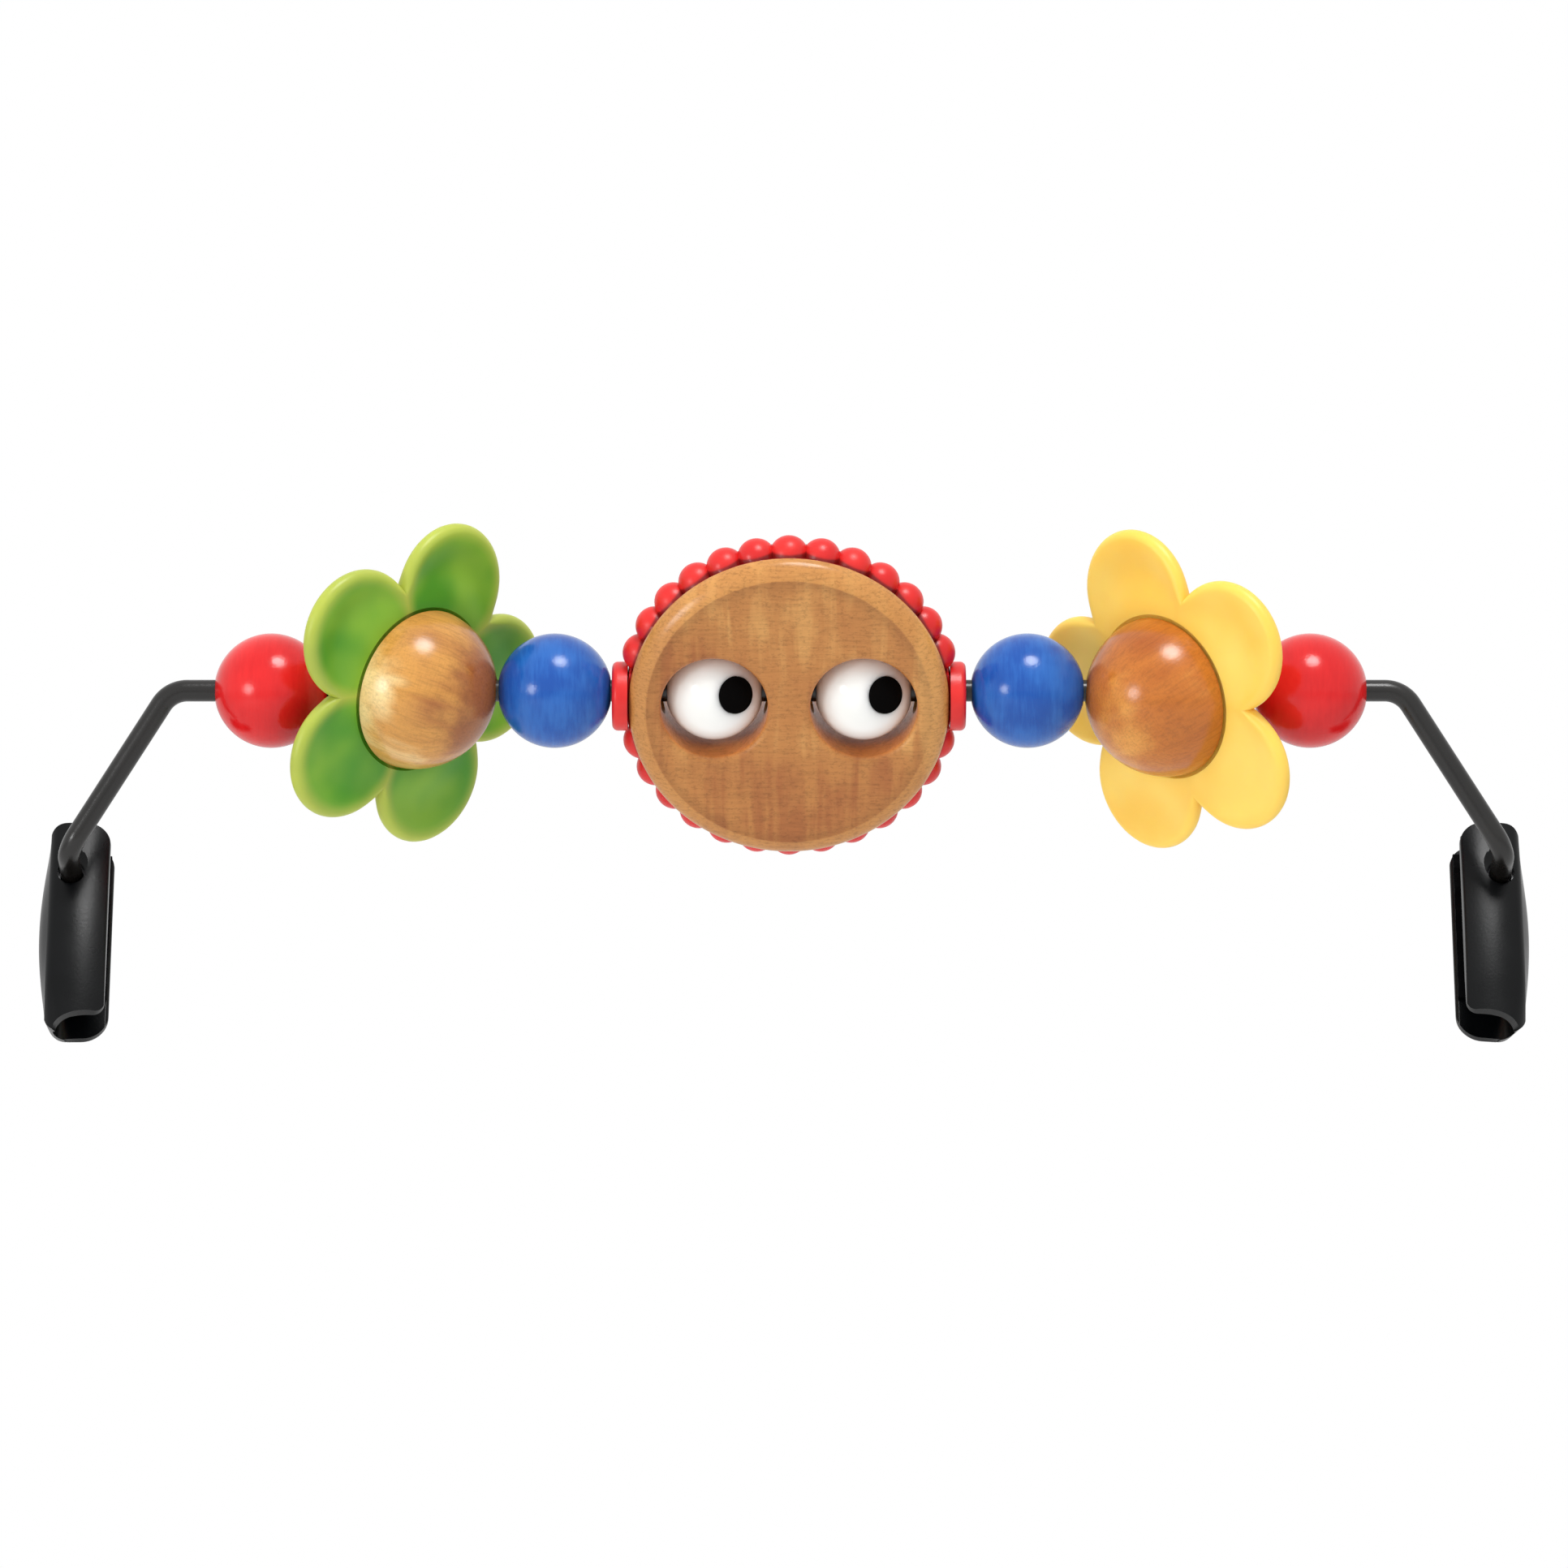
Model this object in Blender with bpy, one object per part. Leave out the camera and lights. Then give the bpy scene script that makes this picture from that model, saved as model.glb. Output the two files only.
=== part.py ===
"""Toy bar for a baby bouncer.

A bent steel wire carries a row of wooden beads, two flowers and a face disc with rolling eyes.
A C-shaped clip swivels on each end of the wire and grips the bouncer's side rail.
X runs along the bar, -Y is the side that the face looks to, +Z is up.
The origin is the middle of the line between the two rails that the clips hold.
"""

import math

import bmesh
import bpy
from mathutils import Matrix, Vector

MM = 0.001

# Running and seating clearances
SEAT_GAP = 0.3 * MM
WIRE_CLEARANCE = 0.35 * MM
LEFT_PLAY = 1.6 * MM
FACE_PLAY = 1.5 * MM
RIGHT_PLAY = 1.4 * MM
CUT_OVERRUN = 3.0 * MM
MERGE_DISTANCE = 0.0001 * MM

# Wire bar
WIRE_DIAMETER = 6.0 * MM
BEND_APEX_X = 169.3 * MM
PIN_X = 197.6 * MM
ARM_DROP = 43.9 * MM
SHOULDER_RADIUS = 8.5 * MM
ELBOW_RADIUS = 8.0 * MM
PIN_STANDOFF = 12.5 * MM
BEND_STEPS = 6
WIRE_BEVEL_STEPS = 4

# Round beads
BEAD_DIAMETER = 31.0 * MM
BEAD_STEPS = 20
BEAD_ARC_POINTS = 11

# Flowers
BALL_DIAMETER = 45.0 * MM
BALL_STEPS = 22
BALL_ARC_POINTS = 7
BALL_GROOVE_DEPTH = 1.6 * MM
PETAL_COUNT = 5
PETAL_COLUMNS = 9
LOBE_RADIUS = 18.3 * MM
LOBE_SPREAD_SHARE = 1.5628415
PETAL_HUB_THICKNESS = 3.8 * MM
PETAL_WALL = 2.2 * MM
PETAL_RIM_RADIUS = 2.2 * MM
PETAL_DISH_DEPTH = 1.7 * MM
PETAL_LEAN_SHARE = 0.06
PETAL_DISH_SHARES = ((0.3, 0.72), (0.58, 1.0), (0.84, 0.55))
PETAL_BACK_SHARES = ((0.7, 1.0), (0.35, 0.8))
PETAL_DISH_FADE_SHARE = 0.8
PETAL_RIM_POINTS = 5
FLOWER_SWING = math.radians(43.7)
GREEN_DROOP = math.radians(21.7)
YELLOW_DROOP = math.radians(20.4)
GREEN_PHASE = math.radians(62.3)
YELLOW_PHASE = math.radians(42.0)
GREEN_RISE = 0.9 * MM
YELLOW_SAG = 1.2 * MM

# Face disc
FACE_SHIFT_X = 0.8 * MM
FACE_DROOP = math.radians(25.0)
FACE_SAG = 1.5 * MM
FACE_RADIUS = 44.0 * MM
FACE_THICKNESS = 22.2 * MM
FACE_EDGE_WIDTH = 4.8 * MM
FACE_EDGE_HEIGHT = 4.8 * MM
FACE_EDGE_SWEEP = math.radians(50.0)
FACE_BACK_SETBACK = 1.6 * MM
FACE_STEPS = 44
EYE_SPACING_SHARE = 0.932
EYE_CLEARANCE = 0.4 * MM
EYE_RIM_ROUND = 1.1 * MM
EYE_HOLE_STEPS = 20

# Beaded ring
RING_SEAT_DEPTH = 5.4 * MM
RING_BAND_SETBACK = 0.7 * MM
RING_BAND_WIDTH = 11.9 * MM
RING_BEAD_SETBACK = 1.6 * MM
RING_BEAD_SHARE = 0.1262
RING_POSITIONS = 30
RING_COLUMNS = 4
RING_PAD_SHARES = (0.8, 0.4, 0, -0.4, -0.8)
RING_BUMP_REACH = math.radians(76.0)
LUG_DIAMETER = 19.0 * MM
LUG_HEIGHT = 4.6 * MM
LUG_EDGE_ROUND = 1.6 * MM
LUG_STEPS = 20

# Eyes
EYE_DIAMETER = 27.0 * MM
PUPIL_DIAMETER = 10.2 * MM
PUPIL_DEPTH = 2.4 * MM
PUPIL_PROUD = 0.2 * MM
EYE_GLANCE = math.radians(28.5)
EYE_DROOP = math.radians(7.0)

# Clips
CLIP_TILT = math.radians(27.0)
LEFT_CLIP_YAW = 0.0
RIGHT_CLIP_YAW = math.radians(7.0)
CLIP_DEPTH = 20.5 * MM
CLIP_FRONT_WIDTH = 16.4 * MM
CLIP_BULGE = 2.8 * MM
CLIP_FRONT_WALL = 5.4 * MM
CLIP_BACK_WALL = 2.1 * MM
CLIP_SIDE_WALL = 2.2 * MM
CLIP_ABOVE_PIN = 15.8 * MM
CLIP_BELOW_PIN = 46.0 * MM
CLIP_END_SLANT = 4.2 * MM
CLIP_BACK_RISE = 3.2 * MM
CLIP_BARREL = 2.6 * MM
CLIP_PIN_OFFSET = 2.1 * MM
CLIP_OUTER_TOP_ROUND = 4.4 * MM
CLIP_INNER_TOP_ROUND = 5.8 * MM
CLIP_FOOT_ROUND = 2.6 * MM
CLIP_BACK_FOOT_ROUND = 4.6 * MM
CLIP_HEEL_ROUND = 1.8 * MM
CLIP_BACK_HEEL_ROUND = 7.5 * MM
CLIP_SHOULDER_SWEEP = math.radians(75.0)
CLIP_BACK_ROUND = 3.6 * MM
CLIP_EDGE_ROUND = 0.9 * MM
CLIP_OUTER_ROUND = 3.0 * MM
CLIP_INNER_ROUND = 2.4 * MM
CLIP_CROWN = 1.1 * MM
CLIP_BOW = 2.0 * MM
CLIP_LIP_WALL = 2.3 * MM
CLIP_MOUTH_TAPER = 15.0 * MM
CLIP_FRONT_POINTS = 6
CLIP_LEVELS = 5
PIN_HOLE_CLEARANCE = 0.8 * MM
SCOOP_DEPTH = 1.8 * MM
SCOOP_WIDTH = 11.0 * MM
SCOOP_LENGTH = 16.0 * MM
SCOOP_LEAN = math.radians(24.0)
SCOOP_STEPS = 16
CLIP_HOLE_STEPS = 20
LAND_MARGIN = 0.4 * MM
LAND_HEIGHT = 0.8 * MM
ROUND_STEPS = 5
ARC_POINTS = 4

# Grip pads and wire retainers
PAD_THICKNESS = 1.1 * MM
PAD_RIB_HEIGHT = 0.6 * MM
PAD_RIB_PITCH = 6.4 * MM
PAD_RIB_SHARES = ((0.2, 0), (0.4, 0.9), (0.6, 0.9), (0.8, 0))
PAD_EDGE_MARGIN = 0.6 * MM
RETAINER_DIAMETER = 9.8 * MM
RETAINER_THICKNESS = 0.8 * MM
RETAINER_STEPS = 16
PUPIL_STEPS = 18
COUNTERBORE_DEPTH = 1.8 * MM

# Places that follow from the sizes above
WIRE_RADIUS = WIRE_DIAMETER / 2
BORE_RADIUS = WIRE_RADIUS + WIRE_CLEARANCE
BEAD_RADIUS = BEAD_DIAMETER / 2
BALL_RADIUS = BALL_DIAMETER / 2
EYE_RADIUS = EYE_DIAMETER / 2
LOBE_DISTANCE = LOBE_RADIUS * LOBE_SPREAD_SHARE
FACE_BORE_RADIUS = WIRE_RADIUS + FACE_SAG + SEAT_GAP
EYE_SPACING = FACE_RADIUS * EYE_SPACING_SHARE
RING_INNER_RADIUS = FACE_RADIUS - RING_SEAT_DEPTH
RING_BAND_RADIUS = FACE_RADIUS - RING_BAND_SETBACK
RING_BEAD_CIRCLE = FACE_RADIUS - RING_BEAD_SETBACK
RING_BEAD_RADIUS = RING_BEAD_CIRCLE * RING_BEAD_SHARE
LUG_FACE_RADIUS = FACE_RADIUS + LUG_HEIGHT
EYE_HOLE_RADIUS = EYE_RADIUS + FACE_SAG + EYE_CLEARANCE
PIN_HOLE_RADIUS = WIRE_RADIUS + PIN_HOLE_CLEARANCE

CHANNEL_SIDE = CLIP_FRONT_WIDTH / 2 + CLIP_BULGE - CLIP_BARREL - CLIP_SIDE_WALL
CLIP_CHANNEL_MIDDLE = (CLIP_FRONT_WALL + CLIP_DEPTH - CLIP_BACK_WALL) / 2
LAND_WIDTH = CLIP_DEPTH - CLIP_BACK_WALL - CLIP_FRONT_WALL - 2 * (CLIP_INNER_ROUND + LAND_MARGIN)
CLIP_LENGTH_MIDDLE = (CLIP_ABOVE_PIN - CLIP_BELOW_PIN + CLIP_END_SLANT / 2) / 2
CLIP_TURN = Matrix.Rotation(-CLIP_TILT, 3, "X")
INTO_CLIP = CLIP_TURN @ Vector((0, 1, 0))
RAIL_FROM_PIN = CLIP_TURN @ Vector((0, CLIP_CHANNEL_MIDDLE, CLIP_LENGTH_MIDDLE))
RAIL_FROM_AXIS = Vector((0, 0, -ARM_DROP)) + INTO_CLIP * PIN_STANDOFF + RAIL_FROM_PIN
AXIS_Y = -RAIL_FROM_AXIS.y
AXIS_Z = -RAIL_FROM_AXIS.z

FACE_X = FACE_SHIFT_X
BLUE_LEFT_X = FACE_X - LUG_FACE_RADIUS - SEAT_GAP - BEAD_RADIUS
GREEN_X = BLUE_LEFT_X - BEAD_RADIUS - SEAT_GAP - BALL_RADIUS
RED_LEFT_X = GREEN_X - BALL_RADIUS - LEFT_PLAY - BEAD_RADIUS
BLUE_RIGHT_X = FACE_X + LUG_FACE_RADIUS + FACE_PLAY + BEAD_RADIUS
YELLOW_X = BLUE_RIGHT_X + BEAD_RADIUS + SEAT_GAP + BALL_RADIUS
RED_RIGHT_X = YELLOW_X + BALL_RADIUS + RIGHT_PLAY + BEAD_RADIUS


def clear_scene():
    for obj in list(bpy.data.objects):
        bpy.data.objects.remove(obj, do_unlink=True)


def principled(name, color, roughness, metallic=0.0):
    material = bpy.data.materials.new(name)
    material.use_nodes = True
    shader = material.node_tree.nodes["Principled BSDF"]
    shader.inputs["Base Color"].default_value = (*color, 1.0)
    shader.inputs["Roughness"].default_value = roughness
    shader.inputs["Metallic"].default_value = metallic
    return material


def axis_point(x):
    """A point on the wire's straight run."""
    return Vector((x, AXIS_Y, AXIS_Z))


def add_object(name, data, location=(0, 0, 0), rotation=None, parent=None):
    obj = bpy.data.objects.new(name, data)
    bpy.context.scene.collection.objects.link(obj)
    obj.location = location
    if rotation is not None:
        obj.rotation_euler = rotation.to_euler()
    obj.parent = parent
    return obj


def add_mesh(name, bm, material, sharp_angle=math.radians(40), **place):
    bmesh.ops.recalc_face_normals(bm, faces=bm.faces)
    mesh = bpy.data.meshes.new(name)
    bm.to_mesh(mesh)
    bm.free()
    mesh.shade_smooth()
    mesh.set_sharp_from_angle(angle=sharp_angle)
    if material is not None:
        mesh.materials.append(material)
    return add_object(name, mesh, **place)


def add_pivot(name, location):
    """An empty on a joint's axis, which carries the pieces that turn there."""
    return add_object(name, None, location=location)


def arc(center, radius, start, end, points):
    """Points on an arc in a plane, from one angle to another in radians."""
    angles = [start + (end - start) * i / (points - 1) for i in range(points)]
    return [(center[0] + radius * math.cos(a), center[1] + radius * math.sin(a)) for a in angles]


def turned(profile, steps):
    """Spin a profile of (radius, height) points round Z. One that ends on the axis stays open there."""
    bm = bmesh.new()
    verts = [bm.verts.new((radius, 0, height)) for radius, height in profile]
    edges = [bm.edges.new(pair) for pair in zip(verts, verts[1:])]
    if profile[0][0] > 0:
        edges.append(bm.edges.new((verts[-1], verts[0])))
    bmesh.ops.spin(bm, geom=verts + edges, cent=(0, 0, 0), axis=(0, 0, 1), angle=math.tau,
                   steps=steps, use_merge=True)
    bmesh.ops.remove_doubles(bm, verts=bm.verts, dist=MERGE_DISTANCE)
    return bm


def extruded(outline, direction):
    """A prism on a closed outline of 3-D points."""
    bm = bmesh.new()
    face = bm.faces.new([bm.verts.new(point) for point in outline])
    grown = bmesh.ops.extrude_face_region(bm, geom=[face])
    moved = [item for item in grown["geom"] if isinstance(item, bmesh.types.BMVert)]
    bmesh.ops.translate(bm, verts=moved, vec=direction)
    return bm


def lofted(outlines):
    """A solid through two or more closed outlines that have the same number of points."""
    bm = bmesh.new()
    rings = [[bm.verts.new(point) for point in outline] for outline in outlines]
    for ring, following in zip(rings, rings[1:]):
        for i in range(len(ring)):
            bm.faces.new((ring[i - 1], ring[i], following[i], following[i - 1]))
    bm.faces.new(rings[0])
    bm.faces.new(rings[-1])
    return bm


def gridded(columns):
    """A closed skin on columns of points, where the columns and each column's points run in rings."""
    bm = bmesh.new()
    rings = [[bm.verts.new(point) for point in column] for column in columns]
    for ring, following in zip(rings, rings[1:] + rings[:1]):
        for i in range(len(ring)):
            j = (i + 1) % len(ring)
            bm.faces.new((ring[i], ring[j], following[j], following[i]))
    return bm


def boolean(target, tool, operation="DIFFERENCE"):
    modifier = target.modifiers.new(tool.name, "BOOLEAN")
    modifier.operation = operation
    modifier.solver = "EXACT"
    modifier.object = tool
    tool.hide_render = True
    tool.display_type = "WIRE"


def rod_cutter(name, radius, length, location, rotation, steps, parent):
    profile = [(0, length / 2), (radius, length / 2), (radius, -length / 2), (0, -length / 2)]
    return add_mesh(name, turned(profile, steps), None, location=location, rotation=rotation, parent=parent)


TURN_TO_X = Matrix.Rotation(math.pi / 2, 3, "Y")
TURN_TO_FRONT = Matrix.Rotation(math.pi / 2, 3, "X")


def facing(swing, droop):
    """Turn a piece's own Z to the front, then swing it sideways and let it droop about the wire."""
    return Matrix.Rotation(droop, 3, "X") @ Matrix.Rotation(swing, 3, "Z") @ TURN_TO_FRONT


# Wire bar

def filleted(corners, radii, steps):
    """A path through corner points, each inner corner rounded to its radius."""
    path = [corners[0]]
    for before, corner, after, radius in zip(corners, corners[1:], corners[2:], radii):
        to_before = (before - corner).normalized()
        to_after = (after - corner).normalized()
        half = to_before.angle(to_after) / 2
        tangent = radius / math.tan(half)
        center = corner + (to_before + to_after).normalized() * radius / math.sin(half)
        start = corner + to_before * tangent - center
        end = corner + to_after * tangent - center
        sweep = start.angle(end)
        normal = start.cross(end).normalized()
        for i in range(steps + 1):
            path.append(center + Matrix.Rotation(sweep * i / steps, 3, normal) @ start)
    path.append(corners[-1])
    return path


def elbow_apex(side):
    return Vector((side * PIN_X, AXIS_Y, AXIS_Z - ARM_DROP))


def pin_point(side, depth):
    """A point on the wire's end pin, at a depth below the clip's front face."""
    return elbow_apex(side) + INTO_CLIP * (PIN_STANDOFF + depth)


def make_wire_bar(material):
    pin_end = CLIP_FRONT_WALL - SEAT_GAP
    corners = [pin_point(-1, pin_end), elbow_apex(-1), axis_point(-BEND_APEX_X),
               axis_point(BEND_APEX_X), elbow_apex(1), pin_point(1, pin_end)]
    radii = [ELBOW_RADIUS, SHOULDER_RADIUS, SHOULDER_RADIUS, ELBOW_RADIUS]
    path = filleted(corners, radii, BEND_STEPS)
    curve = bpy.data.curves.new("wire_bar", "CURVE")
    curve.dimensions = "3D"
    curve.bevel_depth = WIRE_RADIUS
    curve.bevel_resolution = WIRE_BEVEL_STEPS
    curve.use_fill_caps = True
    spline = curve.splines.new("POLY")
    spline.points.add(len(path) - 1)
    for point, place in zip(spline.points, path):
        point.co = (*place, 1)
    curve.materials.append(material)
    return add_object("wire_bar", curve)


# Beads and eyes

def bored_ball(radius, bore, steps, points):
    """A ball turned round its own bore."""
    mouth = math.asin(bore / radius)
    outside = arc((0, 0), radius, math.pi / 2 - mouth, mouth - math.pi / 2, points)
    return turned(outside, steps)


def make_bead(name, x, material):
    pivot = add_pivot(name + "_pivot", axis_point(x))
    ball = bored_ball(BEAD_RADIUS, BORE_RADIUS, BEAD_STEPS, BEAD_ARC_POINTS)
    return add_mesh(name, ball, material, rotation=TURN_TO_X, parent=pivot)


def make_eye(side_name, x, white, black):
    """A ball threaded on the wire, with a round pupil let into it off to one side."""
    pivot = add_pivot("eye_pivot_" + side_name, axis_point(x))
    ball = bored_ball(EYE_RADIUS, BORE_RADIUS, BEAD_STEPS, BEAD_ARC_POINTS)
    eyeball = add_mesh("eyeball_" + side_name, ball, white, rotation=TURN_TO_X, parent=pivot)
    gaze = Matrix.Rotation(EYE_DROOP, 3, "X") @ Matrix.Rotation(EYE_GLANCE, 3, "Z") @ TURN_TO_FRONT
    pupil_radius = PUPIL_DIAMETER / 2
    dome_radius = EYE_RADIUS + PUPIL_PROUD
    dome_half = math.asin(pupil_radius / dome_radius)
    pupil_back = dome_radius * math.cos(dome_half) - PUPIL_DEPTH
    dome = arc((0, 0), dome_radius, math.pi / 2 - dome_half, math.pi / 2, ARC_POINTS)
    profile = [(0, pupil_back), (pupil_radius, pupil_back)] + dome[:-1] + [(0, dome_radius)]
    pupil = add_mesh("pupil_" + side_name, turned(profile, PUPIL_STEPS), black, rotation=gaze, parent=pivot)
    pocket_floor = pupil_back - SEAT_GAP
    pocket_length = EYE_RADIUS + CUT_OVERRUN - pocket_floor
    pocket = rod_cutter("pupil_pocket_" + side_name, pupil_radius + SEAT_GAP, pocket_length,
                        gaze @ Vector((0, 0, pocket_floor + pocket_length / 2)), gaze, PUPIL_STEPS, pivot)
    boolean(eyeball, pocket)
    return eyeball, pupil


# Flowers

def flower_ball_profile():
    """A ball with a square groove round its middle for the petals."""
    floor = BALL_RADIUS - BALL_GROOVE_DEPTH
    half_groove = PETAL_HUB_THICKNESS / 2 + SEAT_GAP
    lip = math.asin(half_groove / BALL_RADIUS)
    upper = arc((0, 0), BALL_RADIUS, math.pi / 2, lip, BALL_ARC_POINTS)[1:]
    lower = [(radius, -height) for radius, height in reversed(upper)]
    groove = [(floor, half_groove), (floor, -half_groove)]
    return [(0, BALL_RADIUS)] + upper + groove + lower + [(0, -BALL_RADIUS)]


def petal_column(lobe, step):
    """One section through the petal ring, from the hub over the dished front, round the rim and back."""
    notch = math.acos((LOBE_RADIUS ** 2 + LOBE_DISTANCE ** 2 - notch_radius() ** 2)
                      / (2 * LOBE_RADIUS * LOBE_DISTANCE))
    widest = math.pi - notch
    share = step / PETAL_COLUMNS
    around = -widest + 2 * widest * share
    sector = math.tau / PETAL_COUNT
    lobe_angle = lobe * sector
    hub_angle = lobe_angle - sector / 2 + sector * share
    turn = Matrix.Rotation(lobe_angle, 3, "Z")
    edge = turn @ Vector((LOBE_DISTANCE + LOBE_RADIUS * math.cos(around), LOBE_RADIUS * math.sin(around), 0))
    outward = turn @ Vector((math.cos(around), math.sin(around), 0))
    if step == 0:
        outward = edge.normalized()
    hub_direction = Vector((math.cos(hub_angle), math.sin(hub_angle), 0))
    inner_radius = BALL_RADIUS - BALL_GROOVE_DEPTH + SEAT_GAP
    collar_radius = BALL_RADIUS + SEAT_GAP
    inner = hub_direction * inner_radius
    collar = hub_direction * collar_radius
    rim = edge - outward * PETAL_RIM_RADIUS
    fullness = (edge.length - notch_radius()) / (LOBE_DISTANCE + LOBE_RADIUS - notch_radius())
    dish = PETAL_DISH_DEPTH * min(1, fullness / PETAL_DISH_FADE_SHARE)
    half = PETAL_HUB_THICKNESS / 2
    up = Vector((0, 0, 1))

    def leaning(point, height):
        lean = PETAL_LEAN_SHARE * max(0, point.length - collar_radius)
        return point + up * (height - lean)

    def between(share_out, height):
        return leaning(collar.lerp(rim, share_out), height)

    front = [leaning(inner, half), leaning(collar, half)]
    front += [between(out, half - dish * depth) for out, depth in PETAL_DISH_SHARES]
    half_circle = arc((0, 0), PETAL_RIM_RADIUS, math.pi / 2, -math.pi / 2, PETAL_RIM_POINTS)
    round_rim = [leaning(rim + outward * reach, height) for reach, height in half_circle]
    back = [between(out, half - dish * depth - PETAL_WALL) for out, depth in PETAL_BACK_SHARES]
    back += [leaning(collar, -half), leaning(inner, -half)]
    return front + round_rim + back


def notch_radius():
    """Distance from the flower's middle to where two neighbouring lobes meet."""
    half_sector = math.pi / PETAL_COUNT
    along = LOBE_DISTANCE * math.cos(half_sector)
    across = LOBE_DISTANCE * math.sin(half_sector)
    return along + math.sqrt(LOBE_RADIUS ** 2 - across ** 2)


def make_flower(color_name, x, rise, swing, droop, phase, petal_material, wood):
    """A flower whose middle sits a little above or below the wire."""
    pivot = add_pivot(color_name + "_flower_pivot", axis_point(x))
    turn = facing(swing, droop)
    middle = Vector((0, 0, rise))
    ball = add_mesh(color_name + "_flower_ball", turned(flower_ball_profile(), BALL_STEPS), wood,
                    location=middle, rotation=turn, parent=pivot)
    bore = rod_cutter(color_name + "_flower_bore", BORE_RADIUS, BALL_DIAMETER + 2 * CUT_OVERRUN,
                      (0, 0, 0), TURN_TO_X, BEAD_STEPS, pivot)
    boolean(ball, bore)
    columns = [petal_column(lobe, step) for lobe in range(PETAL_COUNT) for step in range(PETAL_COLUMNS)]
    petal_turn = turn @ Matrix.Rotation(phase, 3, "Z")
    petals = add_mesh(color_name + "_petals", gridded(columns), petal_material,
                      location=middle, rotation=petal_turn, parent=pivot)
    return ball, petals


# Face disc with its beaded ring

def face_profile():
    """Half section of the disc: two flanges with curved edges and a groove between them for the ring.

    The back flange is a little smaller, and the ring slips on over it.
    """
    half = FACE_THICKNESS / 2
    groove_half = RING_BAND_WIDTH / 2 + SEAT_GAP
    groove_floor = RING_INNER_RADIUS - SEAT_GAP
    reach = FACE_EDGE_WIDTH / (1 - math.cos(FACE_EDGE_SWEEP))
    rise = FACE_EDGE_HEIGHT / math.sin(FACE_EDGE_SWEEP)
    quadrant = arc((0, 0), 1, FACE_EDGE_SWEEP, 0, ROUND_STEPS)

    def flange(radius):
        """From the middle of a face out round its edge and down to the groove's floor."""
        edge = [(radius - reach + reach * x, half - FACE_EDGE_HEIGHT + rise * y) for x, y in quadrant]
        return [(0, half)] + edge + [(radius, groove_half), (groove_floor, groove_half)]

    back = [(radius, -height) for radius, height in flange(FACE_RADIUS - FACE_BACK_SETBACK)]
    return flange(FACE_RADIUS) + back[::-1]


def eye_hole_profile():
    """A through hole whose two rims flare out to the disc's faces."""
    half = FACE_THICKNESS / 2
    center = (EYE_HOLE_RADIUS + EYE_RIM_ROUND, half - EYE_RIM_ROUND)
    flare = arc(center, EYE_RIM_ROUND, math.pi / 2, math.pi, ARC_POINTS)
    mouth = flare[0][0]
    upper = [(0, half + CUT_OVERRUN), (mouth, half + CUT_OVERRUN)] + flare
    return upper + [(radius, -height) for radius, height in reversed(upper)]


def make_face_disc(pivot, turn, bore, material):
    middle = Vector((0, 0, -FACE_SAG))
    disc = add_mesh("face_disc", turned(face_profile(), FACE_STEPS), material,
                    location=middle, rotation=turn, parent=pivot)
    boolean(disc, bore)
    for side_name, side in (("left", -1), ("right", 1)):
        place = middle + Vector((side * EYE_SPACING / 2, 0, 0))
        hole = add_mesh("eye_hole_" + side_name, turned(eye_hole_profile(), EYE_HOLE_STEPS), None,
                        location=place, rotation=turn, parent=pivot)
        boolean(disc, hole)
    return disc


def ring_section(column):
    """A section of the beaded ring: a flat band with a round bump, or with a pad under a lug."""
    pitch = math.tau / RING_POSITIONS
    angle = pitch * column / RING_COLUMNS
    slot, step = divmod(column, RING_COLUMNS)
    offset = pitch * (step / RING_COLUMNS - 0.5)
    half = RING_BAND_WIDTH / 2
    in_lug = slot % (RING_POSITIONS // 2) in (0, RING_POSITIONS // 2 - 1)
    if in_lug and not (step == 0 and slot % (RING_POSITIONS // 2) == RING_POSITIONS // 2 - 1):
        pad = FACE_RADIUS + 2 * SEAT_GAP
        crest = [(pad, half * share) for share in RING_PAD_SHARES]
    else:
        middle = RING_BEAD_CIRCLE * math.cos(offset)
        bump = math.sqrt(RING_BEAD_RADIUS ** 2 - (RING_BEAD_CIRCLE * math.sin(offset)) ** 2)
        crest = arc((middle, 0), bump, RING_BUMP_REACH, -RING_BUMP_REACH, len(RING_PAD_SHARES))
    profile = [(RING_INNER_RADIUS, -half), (RING_INNER_RADIUS, half), (RING_BAND_RADIUS, half)]
    profile += crest + [(RING_BAND_RADIUS, -half)]
    spoke = Vector((math.cos(angle), math.sin(angle), 0))
    return [spoke * radius + Vector((0, 0, height)) for radius, height in profile]


def make_face_ring(pivot, turn, bore, material):
    middle = Vector((0, 0, -FACE_SAG))
    columns = [ring_section(column) for column in range(RING_POSITIONS * RING_COLUMNS)]
    ring = add_mesh("face_ring", gridded(columns), material, location=middle, rotation=turn, parent=pivot)
    lug_radius = LUG_DIAMETER / 2
    inner_face = FACE_RADIUS + SEAT_GAP
    for side_name, side in (("left", -1), ("right", 1)):
        rim = arc((lug_radius - LUG_EDGE_ROUND, LUG_FACE_RADIUS - LUG_EDGE_ROUND), LUG_EDGE_ROUND,
                  math.pi / 2, 0, ARC_POINTS)
        profile = [(0, LUG_FACE_RADIUS)] + rim + [(lug_radius, inner_face), (0, inner_face)]
        lug = add_mesh("ring_lug_" + side_name, turned(profile, LUG_STEPS), None, location=middle,
                       rotation=Matrix.Rotation(side * math.pi / 2, 3, "Y"), parent=pivot)
        boolean(ring, lug, "UNION")
    boolean(ring, bore)
    return ring


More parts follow.
